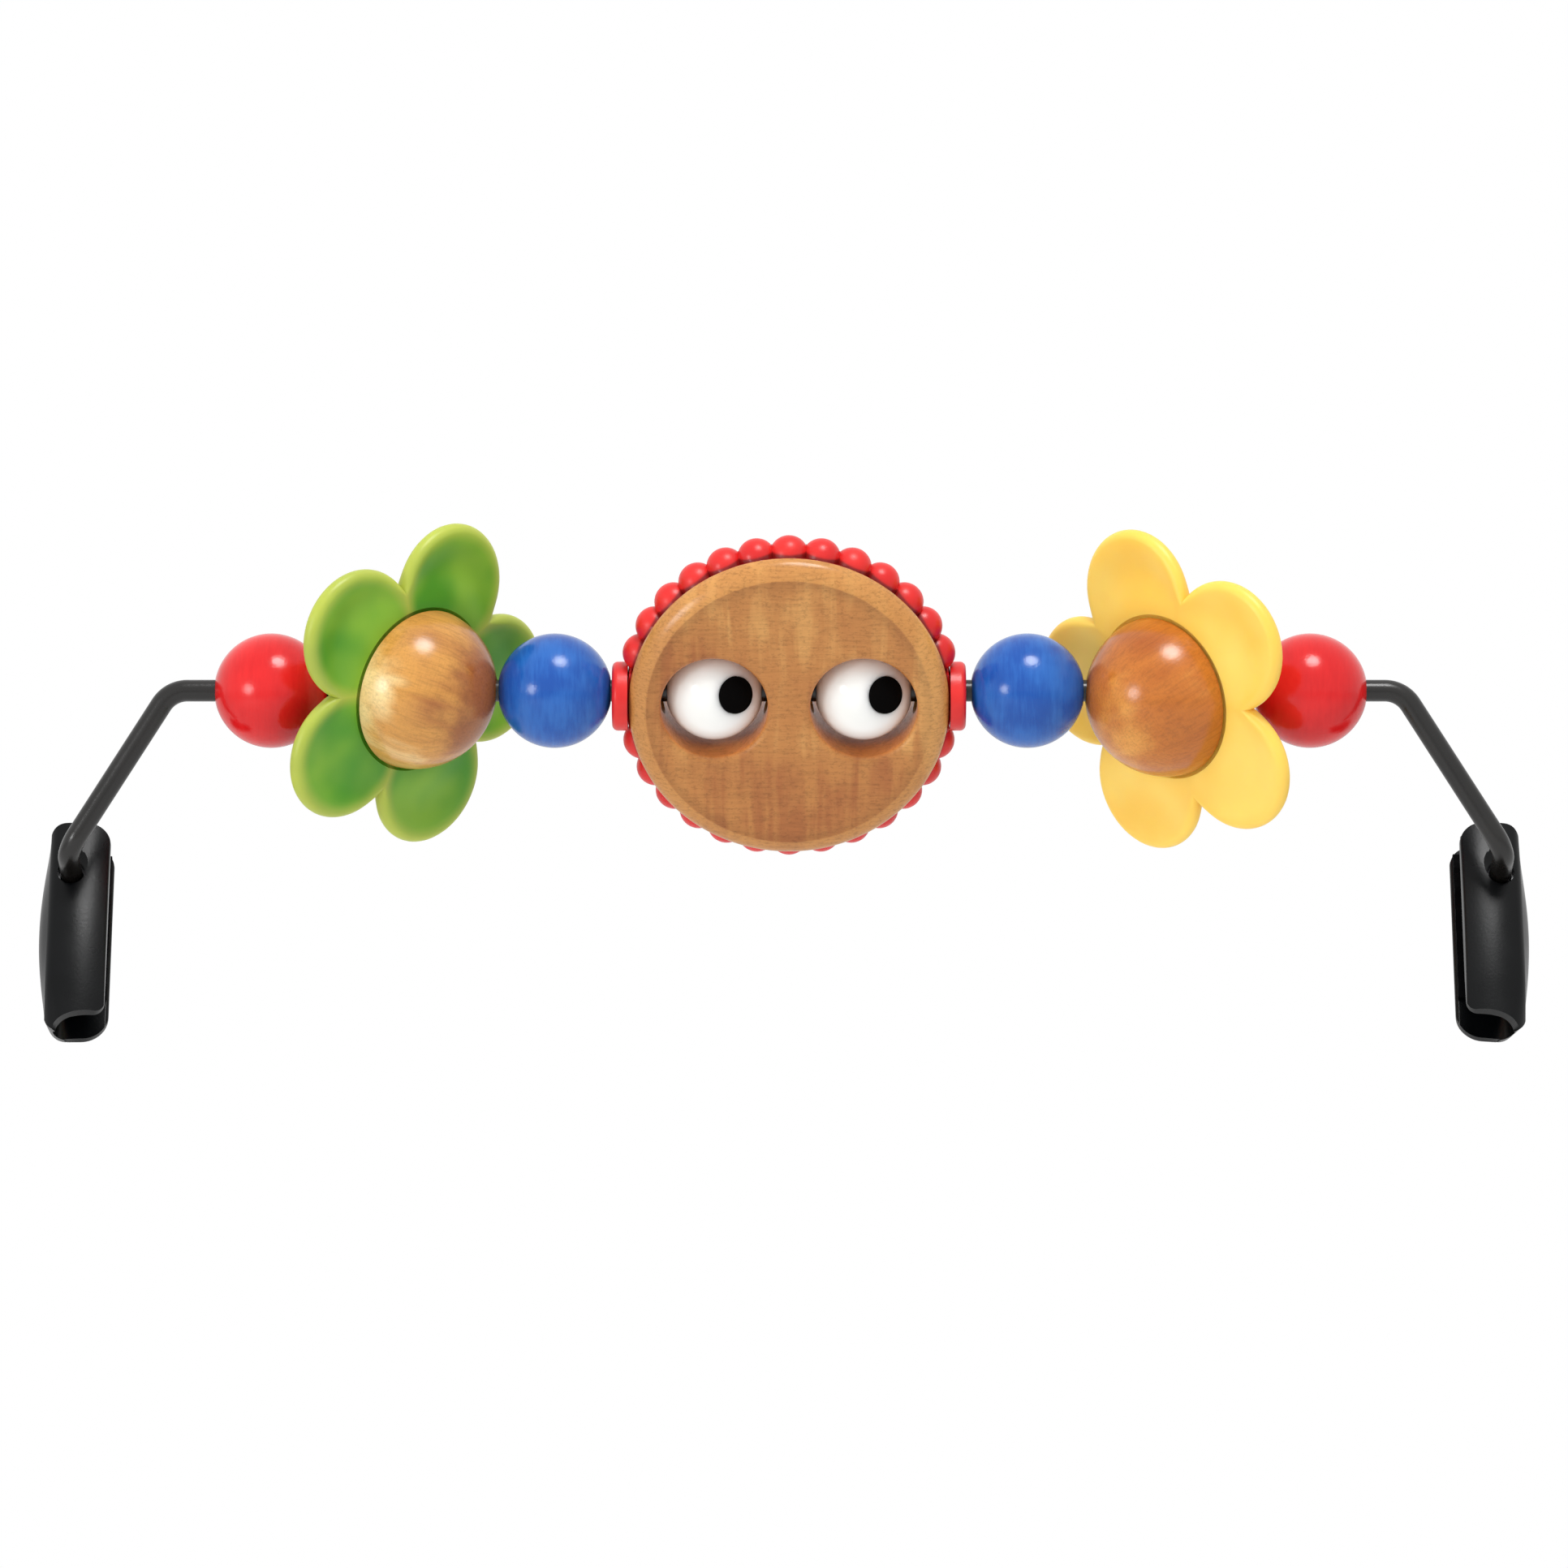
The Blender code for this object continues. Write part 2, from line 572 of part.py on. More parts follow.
def make_face(wood, red):
    pivot = add_pivot("face_pivot", axis_point(FACE_X))
    turn = facing(0, FACE_DROOP)
    bore = rod_cutter("face_bore", FACE_BORE_RADIUS, 2 * (LUG_FACE_RADIUS + CUT_OVERRUN),
                      (0, 0, -FACE_SAG), TURN_TO_X, LUG_STEPS, pivot)
    make_face_disc(pivot, turn, bore, wood)
    make_face_ring(pivot, turn, bore, red)


# Clips

def front_depth(x, height):
    """Depth of the front face, which is crowned across and bows back towards both ends."""
    middle = (CLIP_ABOVE_PIN - CLIP_BELOW_PIN) / 2
    reach = (CLIP_ABOVE_PIN + CLIP_BELOW_PIN) / 2
    return CLIP_BOW * ((height - middle) / reach) ** 2 + CLIP_CROWN * (2 * x / CLIP_FRONT_WIDTH) ** 2


def channel_front(height):
    """Depth of the channel's front side, which runs out to a thin lip at the mouth."""
    end = front_depth(0, -CLIP_BELOW_PIN) + CLIP_LIP_WALL
    share = max(0, CLIP_MOUTH_TAPER - CLIP_BELOW_PIN - height) / CLIP_MOUTH_TAPER
    return CLIP_FRONT_WALL + (end - CLIP_FRONT_WALL) * share


def clip_section(side, height):
    """The C-shaped section at a height, as (x, depth), open towards the middle of the bar."""
    half = CLIP_FRONT_WIDTH / 2
    back_inner = CLIP_DEPTH - CLIP_BACK_WALL
    edge, outer, inner, back = CLIP_EDGE_ROUND, CLIP_OUTER_ROUND, CLIP_INNER_ROUND, CLIP_BACK_ROUND
    slope = math.atan(2 * CLIP_CROWN / half)
    start = -half + edge * (1 - math.sin(slope))
    stop = half - outer * (math.cos(math.pi / 6) - math.sin(slope))
    inner_edge = (-half + edge, front_depth(start, height) + edge * math.cos(slope))
    outer_edge = (stop - outer * math.sin(slope), front_depth(stop, height) + outer * math.cos(slope))
    points = arc(inner_edge, edge, math.pi, 1.5 * math.pi - slope, ARC_POINTS)
    for i in range(1, CLIP_FRONT_POINTS):
        x = start + (stop - start) * i / CLIP_FRONT_POINTS
        points.append((x, front_depth(x, height)))
    points += arc(outer_edge, outer, slope - math.pi / 2, -math.pi / 6, ROUND_STEPS)
    flank_start = points[-1][1]
    flank_end = CLIP_DEPTH - back
    for i in range(1, ROUND_STEPS * 2 + 1):
        share = i / (ROUND_STEPS * 2)
        depth = flank_start + (flank_end - flank_start) * share
        points.append((half + CLIP_BULGE * math.sin(math.pi * share), depth))
    points += arc((half - back, flank_end), back, 0, math.pi / 2, ROUND_STEPS)[1:]
    lip_round = CLIP_BACK_WALL / 2
    lip = (-half + lip_round, CLIP_DEPTH - lip_round)
    points += arc(lip, lip_round, math.pi / 2, 1.5 * math.pi, ROUND_STEPS)
    points += arc((CHANNEL_SIDE - inner, back_inner - inner), inner, math.pi / 2, 0, ARC_POINTS)
    land_low = CLIP_CHANNEL_MIDDLE - LAND_WIDTH / 2
    land_high = CLIP_CHANNEL_MIDDLE + LAND_WIDTH / 2
    land_face = CHANNEL_SIDE - LAND_HEIGHT
    points += [(CHANNEL_SIDE, land_high), (land_face, land_high)]
    points += [(land_face, land_low), (CHANNEL_SIDE, land_low)]
    front_side = channel_front(height)
    points += arc((CHANNEL_SIDE - inner, front_side + inner), inner, 0, -math.pi / 2, ARC_POINTS)
    points += [(-half, front_side)]
    return [Vector((side * (x - CLIP_PIN_OFFSET), depth, height)) for x, depth in points]


def clip_outline(side, depth):
    """The clip's front view at a depth: barrel-shaped sides, and a lower end that rounds off to the back."""
    share = depth / CLIP_DEPTH
    outer = CLIP_FRONT_WIDTH / 2 + CLIP_BULGE
    inner = -CLIP_FRONT_WIDTH / 2
    top = CLIP_ABOVE_PIN
    low_outer = -CLIP_BELOW_PIN + CLIP_BACK_RISE * share
    low_inner = low_outer + CLIP_END_SLANT * (1 - share)
    foot = CLIP_FOOT_ROUND + (CLIP_BACK_FOOT_ROUND - CLIP_FOOT_ROUND) * share
    heel = CLIP_HEEL_ROUND + (CLIP_BACK_HEEL_ROUND - CLIP_HEEL_ROUND) * share
    shoulder_in, shoulder_out = CLIP_INNER_TOP_ROUND, CLIP_OUTER_TOP_ROUND
    ends = outer - CLIP_BARREL
    flank = math.pi / 2 - CLIP_SHOULDER_SWEEP
    points = arc((inner + shoulder_in, top - shoulder_in), shoulder_in, math.pi, math.pi / 2, ROUND_STEPS)
    points += arc((ends - shoulder_out, top - shoulder_out), shoulder_out, math.pi / 2, flank, ROUND_STEPS)
    barrel_top = top - shoulder_out
    barrel_end = low_outer + foot
    for i in range(1, ROUND_STEPS * 2):
        along = i / (ROUND_STEPS * 2)
        height = barrel_top + (barrel_end - barrel_top) * along
        points.append((ends + CLIP_BARREL * math.sin(math.pi * along), height))
    points += arc((ends - foot, low_outer + foot), foot, -flank, -math.pi / 2, ROUND_STEPS)
    points += arc((inner + heel, low_inner + heel), heel, 1.5 * math.pi, math.pi, ROUND_STEPS)
    return [(side * (x - CLIP_PIN_OFFSET), depth, height) for x, height in points]


def make_clip_shell(side_name, side, turn, pivot, material):
    top = CLIP_ABOVE_PIN + CUT_OVERRUN
    mouth = CLIP_MOUTH_TAPER - CLIP_BELOW_PIN
    bottom = -CLIP_BELOW_PIN - CUT_OVERRUN
    levels = [top + (mouth - top) * i / CLIP_LEVELS for i in range(CLIP_LEVELS)]
    levels += [mouth + (bottom - mouth) * i / CLIP_LEVELS for i in range(CLIP_LEVELS + 1)]
    sections = [clip_section(side, height) for height in levels]
    shell = add_mesh("clip_shell_" + side_name, lofted(sections), material, rotation=turn, parent=pivot)
    outlines = [clip_outline(side, -CUT_OVERRUN), clip_outline(side, CLIP_DEPTH + CUT_OVERRUN)]
    front_view = add_mesh("clip_outline_" + side_name, lofted(outlines), None, rotation=turn, parent=pivot)
    boolean(shell, front_view, "INTERSECT")
    along_pin = CLIP_TURN @ TURN_TO_FRONT
    hole = rod_cutter("pin_hole_" + side_name, PIN_HOLE_RADIUS, 2 * CLIP_FRONT_WALL + CUT_OVERRUN,
                      (0, 0, 0), along_pin, CLIP_HOLE_STEPS, pivot)
    boolean(shell, hole)
    bore_length = COUNTERBORE_DEPTH + CUT_OVERRUN
    bore_middle = CLIP_FRONT_WALL - COUNTERBORE_DEPTH + bore_length / 2
    counterbore = rod_cutter("counterbore_" + side_name, RETAINER_DIAMETER / 2 + 2 * SEAT_GAP, bore_length,
                             INTO_CLIP * bore_middle, along_pin, CLIP_HOLE_STEPS, pivot)
    boolean(shell, counterbore)
    boolean(shell, make_scoop(side_name, side, turn, pivot))
    return shell


def make_scoop(side_name, side, turn, pivot):
    """A shallow dish round the pin hole that clears the wire's elbow."""
    bm = bmesh.new()
    bmesh.ops.create_uvsphere(bm, u_segments=SCOOP_STEPS, v_segments=SCOOP_STEPS // 2, radius=1)
    half_width = SCOOP_WIDTH / 2
    half_length = SCOOP_LENGTH / 2
    lean = Matrix.Rotation(-side * SCOOP_LEAN, 3, "Y")
    size = Matrix.Diagonal((half_width, 2 * SCOOP_DEPTH, half_length))
    shift = lean @ Vector((0, 0, half_length - half_width))
    for vert in bm.verts:
        vert.co = lean @ (size @ vert.co) + shift - Vector((0, SCOOP_DEPTH, 0))
    return add_mesh("scoop_" + side_name, bm, None, rotation=turn, parent=pivot)


def pad_outline(start, end):
    """A long side view of a grip pad: flat back, ribbed face. Points are (height, thickness)."""
    ribs = max(1, int((end - start) / PAD_RIB_PITCH))
    pitch = (end - start) / ribs
    points = [(start, 0), (start, PAD_THICKNESS)]
    for rib in range(ribs):
        for share, lift in PAD_RIB_SHARES:
            points.append((start + pitch * (rib + share), PAD_THICKNESS + PAD_RIB_HEIGHT * lift))
    return points + [(end, PAD_THICKNESS), (end, 0)]


def make_pad(name, side, turn, pivot, seat, facing_back, material):
    """A grip pad on one of the channel's two broad walls, ribs facing the rail."""
    start = -CLIP_BELOW_PIN + CLIP_MOUTH_TAPER
    end = CLIP_ABOVE_PIN - CLIP_INNER_TOP_ROUND / 2
    sign = 1 if facing_back else -1
    inner_x = -CLIP_FRONT_WIDTH / 2 + PAD_EDGE_MARGIN
    outer_x = CHANNEL_SIDE - CLIP_INNER_ROUND
    place = side * (inner_x - CLIP_PIN_OFFSET)
    outline = [(place, seat + sign * (SEAT_GAP + thick), height) for height, thick in pad_outline(start, end)]
    width = side * (outer_x - inner_x)
    return add_mesh(name, extruded(outline, (width, 0, 0)), material, rotation=turn, parent=pivot)


def make_clip(side_name, side, yaw, plastic, rubber):
    """A clip on its pin. The loose pin hole lets its back edge turn a little towards the middle."""
    pivot = add_pivot("clip_pivot_" + side_name, pin_point(side, 0))
    turn = CLIP_TURN @ Matrix.Rotation(side * yaw, 3, "Z")
    make_clip_shell(side_name, side, turn, pivot, plastic)
    back_seat = CLIP_DEPTH - CLIP_BACK_WALL
    make_pad("clip_front_pad_" + side_name, side, turn, pivot, CLIP_FRONT_WALL, True, rubber)
    make_pad("clip_back_pad_" + side_name, side, turn, pivot, back_seat, False, rubber)


def make_retainer(side_name, side, material):
    """A push-on ring that grips the wire's end behind the clip's front wall."""
    floor = CLIP_FRONT_WALL - COUNTERBORE_DEPTH + SEAT_GAP
    outer = RETAINER_DIAMETER / 2
    bore = WIRE_RADIUS + SEAT_GAP
    profile = [(bore, 0), (outer, 0), (outer, -RETAINER_THICKNESS), (bore, -RETAINER_THICKNESS)]
    return add_mesh("wire_retainer_" + side_name, turned(profile, RETAINER_STEPS), material,
                    location=pin_point(side, floor), rotation=CLIP_TURN @ TURN_TO_FRONT)


def main():
    clear_scene()
    black_coat = principled("black_coated_steel", (0.012, 0.012, 0.013), 0.3)
    red_paint = principled("red_paint", (0.72, 0.03, 0.035), 0.28)
    blue_paint = principled("blue_paint", (0.03, 0.12, 0.56), 0.28)
    green_plastic = principled("green_plastic", (0.19, 0.46, 0.04), 0.4)
    yellow_plastic = principled("yellow_plastic", (0.94, 0.58, 0.1), 0.4)
    red_rubber = principled("red_rubber", (0.78, 0.035, 0.03), 0.45)
    beech = principled("beech", (0.62, 0.36, 0.14), 0.4)
    dark_beech = principled("dark_beech", (0.45, 0.2, 0.06), 0.4)
    face_wood = principled("face_wood", (0.45, 0.22, 0.1), 0.45)
    eye_white = principled("eye_white", (0.9, 0.9, 0.88), 0.12)
    pupil_black = principled("pupil_black", (0.005, 0.005, 0.005), 0.15)
    clip_plastic = principled("clip_plastic", (0.013, 0.014, 0.015), 0.38)
    pad_rubber = principled("pad_rubber", (0.01, 0.01, 0.011), 0.7)
    spring_steel = principled("spring_steel", (0.55, 0.55, 0.55), 0.3, 1.0)

    make_wire_bar(black_coat)
    make_bead("red_bead_left", RED_LEFT_X, red_paint)
    make_bead("blue_bead_left", BLUE_LEFT_X, blue_paint)
    make_bead("blue_bead_right", BLUE_RIGHT_X, blue_paint)
    make_bead("red_bead_right", RED_RIGHT_X, red_paint)
    make_flower("green", GREEN_X, GREEN_RISE, FLOWER_SWING, GREEN_DROOP, GREEN_PHASE, green_plastic, beech)
    make_flower("yellow", YELLOW_X, -YELLOW_SAG, -FLOWER_SWING, YELLOW_DROOP, YELLOW_PHASE, yellow_plastic,
                dark_beech)
    make_face(face_wood, red_rubber)
    make_eye("left", FACE_X - EYE_SPACING / 2, eye_white, pupil_black)
    make_eye("right", FACE_X + EYE_SPACING / 2, eye_white, pupil_black)
    for side_name, side, yaw in (("left", -1, LEFT_CLIP_YAW), ("right", 1, RIGHT_CLIP_YAW)):
        make_clip(side_name, side, yaw, clip_plastic, pad_rubber)
        make_retainer(side_name, side, spring_steel)


main()
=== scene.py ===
"""Looks for the bouncer toy bar: finer meshes on the CAD bodies, procedural materials, light and camera."""
import math

import bmesh
import bpy
from mathutils import Matrix, Vector


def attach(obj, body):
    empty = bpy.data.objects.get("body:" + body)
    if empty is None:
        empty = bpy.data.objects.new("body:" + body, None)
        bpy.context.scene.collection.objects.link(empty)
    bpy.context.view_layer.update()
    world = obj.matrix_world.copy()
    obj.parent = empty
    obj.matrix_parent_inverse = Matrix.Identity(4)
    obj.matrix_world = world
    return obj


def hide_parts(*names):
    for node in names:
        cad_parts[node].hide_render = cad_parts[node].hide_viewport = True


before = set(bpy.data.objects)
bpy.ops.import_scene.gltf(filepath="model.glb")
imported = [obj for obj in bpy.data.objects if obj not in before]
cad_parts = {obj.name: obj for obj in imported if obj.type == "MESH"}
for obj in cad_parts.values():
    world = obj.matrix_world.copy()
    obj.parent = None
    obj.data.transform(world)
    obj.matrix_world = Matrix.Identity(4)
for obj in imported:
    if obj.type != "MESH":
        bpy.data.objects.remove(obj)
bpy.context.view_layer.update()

MM = 0.001
TAU = math.tau
HALF_PI = math.pi / 2

# Layout, as in the CAD: X along the row, Y to the back, Z up, and the origin on the rail that the clips hold

GAP = 0.3 * MM
BORE = 3.35 * MM
BEAD = 15.75 * MM
BALL = 22.5 * MM
ARM_DROP = 43.9 * MM
PIN_X = 197.6 * MM
BEND_X = 169.3 * MM
STANDOFF = 12.5 * MM
RAIL_BEHIND = 11.9 * MM
RAIL_BELOW = 14.05 * MM
TILT = Matrix.Rotation(math.radians(-27), 3, "X")
INTO_CLIP = TILT @ Vector((0, 1, 0))
RAIL = Vector((0, 0, -ARM_DROP)) + INTO_CLIP * STANDOFF + TILT @ Vector((0, RAIL_BEHIND, -RAIL_BELOW))
AXIS_Y, AXIS_Z = -RAIL.y, -RAIL.z
FACE_X = 0.8 * MM
BLUE_LEFT_X = FACE_X - 64.4 * MM
GREEN_X = BLUE_LEFT_X - 38.3 * MM
RED_LEFT_X = GREEN_X - 39.6 * MM
BLUE_RIGHT_X = FACE_X + 65.6 * MM
YELLOW_X = BLUE_RIGHT_X + 38.3 * MM
RED_RIGHT_X = YELLOW_X + 39.4 * MM
TO_X = Matrix.Rotation(HALF_PI, 3, "Y")
TO_FRONT = Matrix.Rotation(HALF_PI, 3, "X")

# Sizes of the face that its materials need

FACE_RADIUS = 44.0 * MM
RING_REACH = 50.0 * MM
EYE_X = 20.504 * MM
HOLE = 14.7 * MM
HOLE_ROUND = 1.8 * MM
HOLE_RISE = 0.9 * MM


def axis_point(x):
    """A point on the wire's straight run."""
    return Vector((x, AXIS_Y, AXIS_Z))


def facing(swing, droop):
    """Turns Z to the front, swings it about the vertical and tips it, both in degrees."""
    tipped = Matrix.Rotation(math.radians(droop), 3, "X")
    return tipped @ Matrix.Rotation(math.radians(swing), 3, "Z") @ TO_FRONT


def clamp(value):
    return min(1, max(0, value))


def eased(share):
    return share * share * (3 - 2 * share)


# Mesh tools

SHARP = 35
OVERSHOOT = 3 * MM
MERGE = 1e-7


def arc(center, radius, start, end, points):
    return [(center[0] + radius * math.cos(start + (end - start) * i / (points - 1)),
             center[1] + radius * math.sin(start + (end - start) * i / (points - 1))) for i in range(points)]


def turned(profile, steps):
    """A solid turned about Z from (radius, height) points, which start on the axis or go round a bore."""
    bm = bmesh.new()
    verts = [bm.verts.new((r, 0, h)) for r, h in profile]
    edges = [bm.edges.new(pair) for pair in zip(verts, verts[1:])]
    if profile[0][0] > 0:
        edges.append(bm.edges.new((verts[-1], verts[0])))
    bmesh.ops.spin(bm, geom=verts + edges, cent=(0, 0, 0), axis=(0, 0, 1), angle=TAU, steps=steps,
                   use_merge=True)
    bmesh.ops.remove_doubles(bm, verts=bm.verts, dist=MERGE)
    return bm


def skinned(columns, closed=True):
    """A skin over closed sections, joined into a loop or capped at both ends."""
    bm = bmesh.new()
    rings = [[bm.verts.new(p) for p in column] for column in columns]
    pairs = zip(rings, rings[1:] + rings[:1]) if closed else zip(rings, rings[1:])
    for ring, following in pairs:
        for i in range(len(ring)):
            j = (i + 1) % len(ring)
            bm.faces.new((ring[i], ring[j], following[j], following[i]))
    if not closed:
        bm.faces.new(rings[0])
        bm.faces.new(rings[-1])
    return bm


def smooth(mesh, sharp):
    mesh.shade_smooth()
    mesh.set_sharp_from_angle(angle=math.radians(sharp))


def place(name, bm, turn, location, material=None, sharp=SHARP):
    """Makes an object of a mesh, turned and moved to its place."""
    bmesh.ops.recalc_face_normals(bm, faces=bm.faces)
    mesh = bpy.data.meshes.new(name)
    bm.to_mesh(mesh)
    bm.free()
    smooth(mesh, sharp)
    if material:
        mesh.materials.append(material)
    obj = bpy.data.objects.new(name, mesh)
    bpy.context.scene.collection.objects.link(obj)
    obj.matrix_world = Matrix.Translation(location) @ turn.to_4x4()
    return obj


def rod(name, radius, length, location, turn, steps):
    profile = [(0, length / 2), (radius, length / 2), (radius, -length / 2), (0, -length / 2)]
    return place(name, turned(profile, steps), turn, location)


def cut(obj, tools, operation="DIFFERENCE", sharp=SHARP):
    """Applies a boolean with each tool to the mesh and removes the tools."""
    for tool in tools:
        mod = obj.modifiers.new(tool.name, "BOOLEAN")
        mod.operation, mod.solver, mod.object = operation, "EXACT", tool
    bpy.context.view_layer.update()
    graph = bpy.context.evaluated_depsgraph_get()
    mesh = bpy.data.meshes.new_from_object(obj.evaluated_get(graph))
    obj.modifiers.clear()
    obj.data = mesh
    smooth(mesh, sharp)
    for tool in tools:
        bpy.data.objects.remove(tool, do_unlink=True)


def weighted(obj):
    """Weighs the normals by area, so that the slivers a cut leaves don't spoil the shading beside them."""
    mod = obj.modifiers.new("weighted", "WEIGHTED_NORMAL")
    mod.weight, mod.keep_sharp = 100, True


def grain_axes(center, along):
    """Axes for a wooden piece's texture, with Z along the grain."""
    return Matrix.Translation(center) @ Vector(along).to_track_quat("Z", "Y").to_matrix().to_4x4()


def dress(obj, body, node, axes=None):
    """Puts a piece's place into its mesh, stores its texture coordinates and fixes it to its CAD body."""
    bpy.context.view_layer.update()
    own = obj.matrix_world.copy()
    to_texture = (axes or own).inverted() @ own
    local = obj.data.attributes.new("local", "FLOAT_VECTOR", "POINT")
    local.data.foreach_set("vector", [c for vert in obj.data.vertices for c in to_texture @ vert.co])
    obj.data.transform(own)
    obj.matrix_world = Matrix.Identity(4)
    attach(obj, body)
    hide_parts(node)


# Material tools

NOISE_LOW = 0.3
NOISE_HIGH = 0.7
DRIFT_LENGTH = 40 * MM


class Nodes:
    """Builds one node tree."""

    def __init__(self, tree):
        self.tree = tree

    def add(self, kind, **settings):
        node = self.tree.nodes.new("ShaderNode" + kind)
        for key, value in settings.items():
            setattr(node, key, value)
        return node

    def feed(self, socket, value):
        """Links a socket to another node's output, or sets it to a number, a vector or a colour."""
        if isinstance(value, bpy.types.NodeSocket):
            self.tree.links.new(value, socket)
        elif socket.type == "RGBA":
            socket.default_value = (*value, 1)
        else:
            socket.default_value = value

    def math(self, operation, a, b=0.0):
        node = self.add("Math", operation=operation)
        self.feed(node.inputs[0], a)
        self.feed(node.inputs[1], b)
        return node.outputs[0]

    def smoothstep(self, value, start, end, low=0.0, high=1.0):
        node = self.add("MapRange", interpolation_type="SMOOTHSTEP")
        inputs = {"Value": value, "From Min": start, "From Max": end, "To Min": low, "To Max": high}
        for key, number in inputs.items():
            self.feed(node.inputs[key], number)
        return node.outputs["Result"]


class Surface(Nodes):
    """Builds one material, on the coordinates that dress() stores in a piece or else on its object's own."""

    def __init__(self, name, stored=True):
        self.material = bpy.data.materials.new(name)
        self.material.use_nodes = True
        super().__init__(self.material.node_tree)
        self.shader = self.tree.nodes["Principled BSDF"]
        if stored:
            self.coords = self.add("Attribute", attribute_name="local").outputs["Vector"]
        else:
            self.coords = self.add("TexCoord").outputs["Object"]

    def set(self, **values):
        """Feeds the shader's sockets."""
        for key, value in values.items():
            self.feed(self.shader.inputs[key.replace("_", " ")], value)

    def space(self, squeeze=(1, 1, 1), turn=(0, 0, 0), shift=(0, 0, 0)):
        """The coordinates, multiplied along each axis, turned and moved."""
        node = self.add("Mapping")
        inputs = {"Vector": self.coords, "Scale": squeeze, "Rotation": turn, "Location": shift}
        for key, value in inputs.items():
            self.feed(node.inputs[key], value)
        return node.outputs["Vector"]

    def axes(self):
        node = self.add("SeparateXYZ")
        self.feed(node.inputs[0], self.coords)
        return node.outputs

    def off_axis(self, radius):
        """The distance from the piece's own axis, as a share of a radius."""
        node = self.add("VectorMath", operation="LENGTH")
        self.feed(node.inputs[0], self.space(squeeze=(1, 1, 0)))
        return self.math("DIVIDE", node.outputs["Value"], radius)

    def noise(self, scale, detail, roughness=0.5, distortion=0.0, **space):
        node = self.add("TexNoise")
        inputs = {"Vector": self.space(**space), "Scale": scale, "Detail": detail, "Roughness": roughness,
                  "Distortion": distortion}
        for key, value in inputs.items():
            self.feed(node.inputs[key], value)
        return node.outputs["Fac"]

    def ramp(self, value, stops):
        """Eases a value over stops, each a position with a colour or a grey."""
        node = self.add("ValToRGB")
        node.color_ramp.interpolation = "EASE"
        ends = node.color_ramp.elements
        while len(ends) < len(stops):
            ends.new(0.5)
        for element, (position, color) in zip(ends, stops):
            element.position = position
            element.color = (*color, 1) if isinstance(color, tuple) else (color, color, color, 1)
        self.feed(node.inputs["Fac"], value)
        return node.outputs["Color"]

    def spread(self, noise, low, high):
        """Two colours or greys over a noise's usual range."""
        return self.ramp(noise, [(NOISE_LOW, low), (NOISE_HIGH, high)])

    def blend(self, a, b, share):
        """A share of one value and the rest of another."""
        return self.math("ADD", self.math("MULTIPLY", a, share), self.math("MULTIPLY", b, 1 - share))

    def mix(self, factor, a, b, blend="MIX"):
        node = self.add("Mix", data_type="RGBA", blend_type=blend)
        for index, value in ((0, factor), (6, a), (7, b)):
            self.feed(node.inputs[index], value)
        return node.outputs[2]

    def shaded(self, color, value, stops):
        """A colour darkened by a ramp of greys over a value."""
        return self.mix(1.0, color, self.ramp(value, stops), "MULTIPLY")

    def bump(self, height, distance):
        node = self.add("Bump")
        self.feed(node.inputs["Distance"], distance)
        self.feed(node.inputs["Height"], height)
        self.feed(self.shader.inputs["Normal"], node.outputs["Normal"])


def srgb(r, g, b):
    """Linear colour from 8-bit display values."""
    return tuple((c / 255 / 12.92) if c < 10.3 else ((c / 255 + 0.055) / 1.055) ** 2.4 for c in (r, g, b))


def paint(name, deep, light, seed):
    """Gloss lacquer over turned wood, with fine orange peel in the gloss."""
    n = Surface(name)
    grain = n.noise(130, 3, 0.6, squeeze=(1, 1, 7), turn=(0.3, 1.2, seed))
    cloud = n.noise(90, 2, shift=(seed, 0, 0))
    peel = n.noise(1500, 2, 0.6, shift=(0, seed, 0))
    n.set(Base_Color=n.ramp(n.blend(grain, cloud, 0.4), [(0.35, deep), (0.65, light)]))
    n.set(Roughness=n.spread(cloud, 0.15, 0.21), Specular_IOR_Level=0.38)
    n.bump(n.blend(peel, grain, 0.7), 0.05 * MM)
    return n.material


def wood(name, light, mid, dark, seed, line, shade_drift):
    """Lacquered wood: fine lines along the grain, finer ones across it, and painted shade that darkens the
    tone along the grain's axis.
    """
    n = Surface(name)
    shift = (seed, seed * 0.7, 0)
    fibre = n.noise(line, 2, 0.6, squeeze=(1, 1, 0.04), shift=shift)
    cross = n.noise(line * 1.9, 2, squeeze=(1, 0.06, 1), shift=shift)
    speck = n.noise(1700, 2, 0.6, squeeze=(1, 1, 0.5), shift=(0, seed, 0))
    stripes = n.noise(200, 2, 0.5, 0.3, squeeze=(1, 1, 0.05), shift=shift)
    cloud = n.noise(38, 2, shift=shift)
    # Painted shade: the tone darkens along the grain's axis, towards the ball's right.
    along = n.math("MULTIPLY", n.axes()["Z"], shade_drift / DRIFT_LENGTH)
    tone = n.math("SUBTRACT", n.blend(stripes, cloud, 0.25), along)
    base = n.ramp(tone, [(0.26, dark), (0.5, mid), (0.74, light)])
    for value, low in ((fibre, 0.86), (cross, 0.93), (speck, 0.93)):
        base = n.shaded(base, value, [(0.36, low), (0.54, 1.0)])
    n.set(Base_Color=base, Roughness=n.spread(speck, 0.25, 0.19), Specular_IOR_Level=0.45)
    n.bump(n.blend(speck, fibre, 0.6), 0.04 * MM)
    return n.material


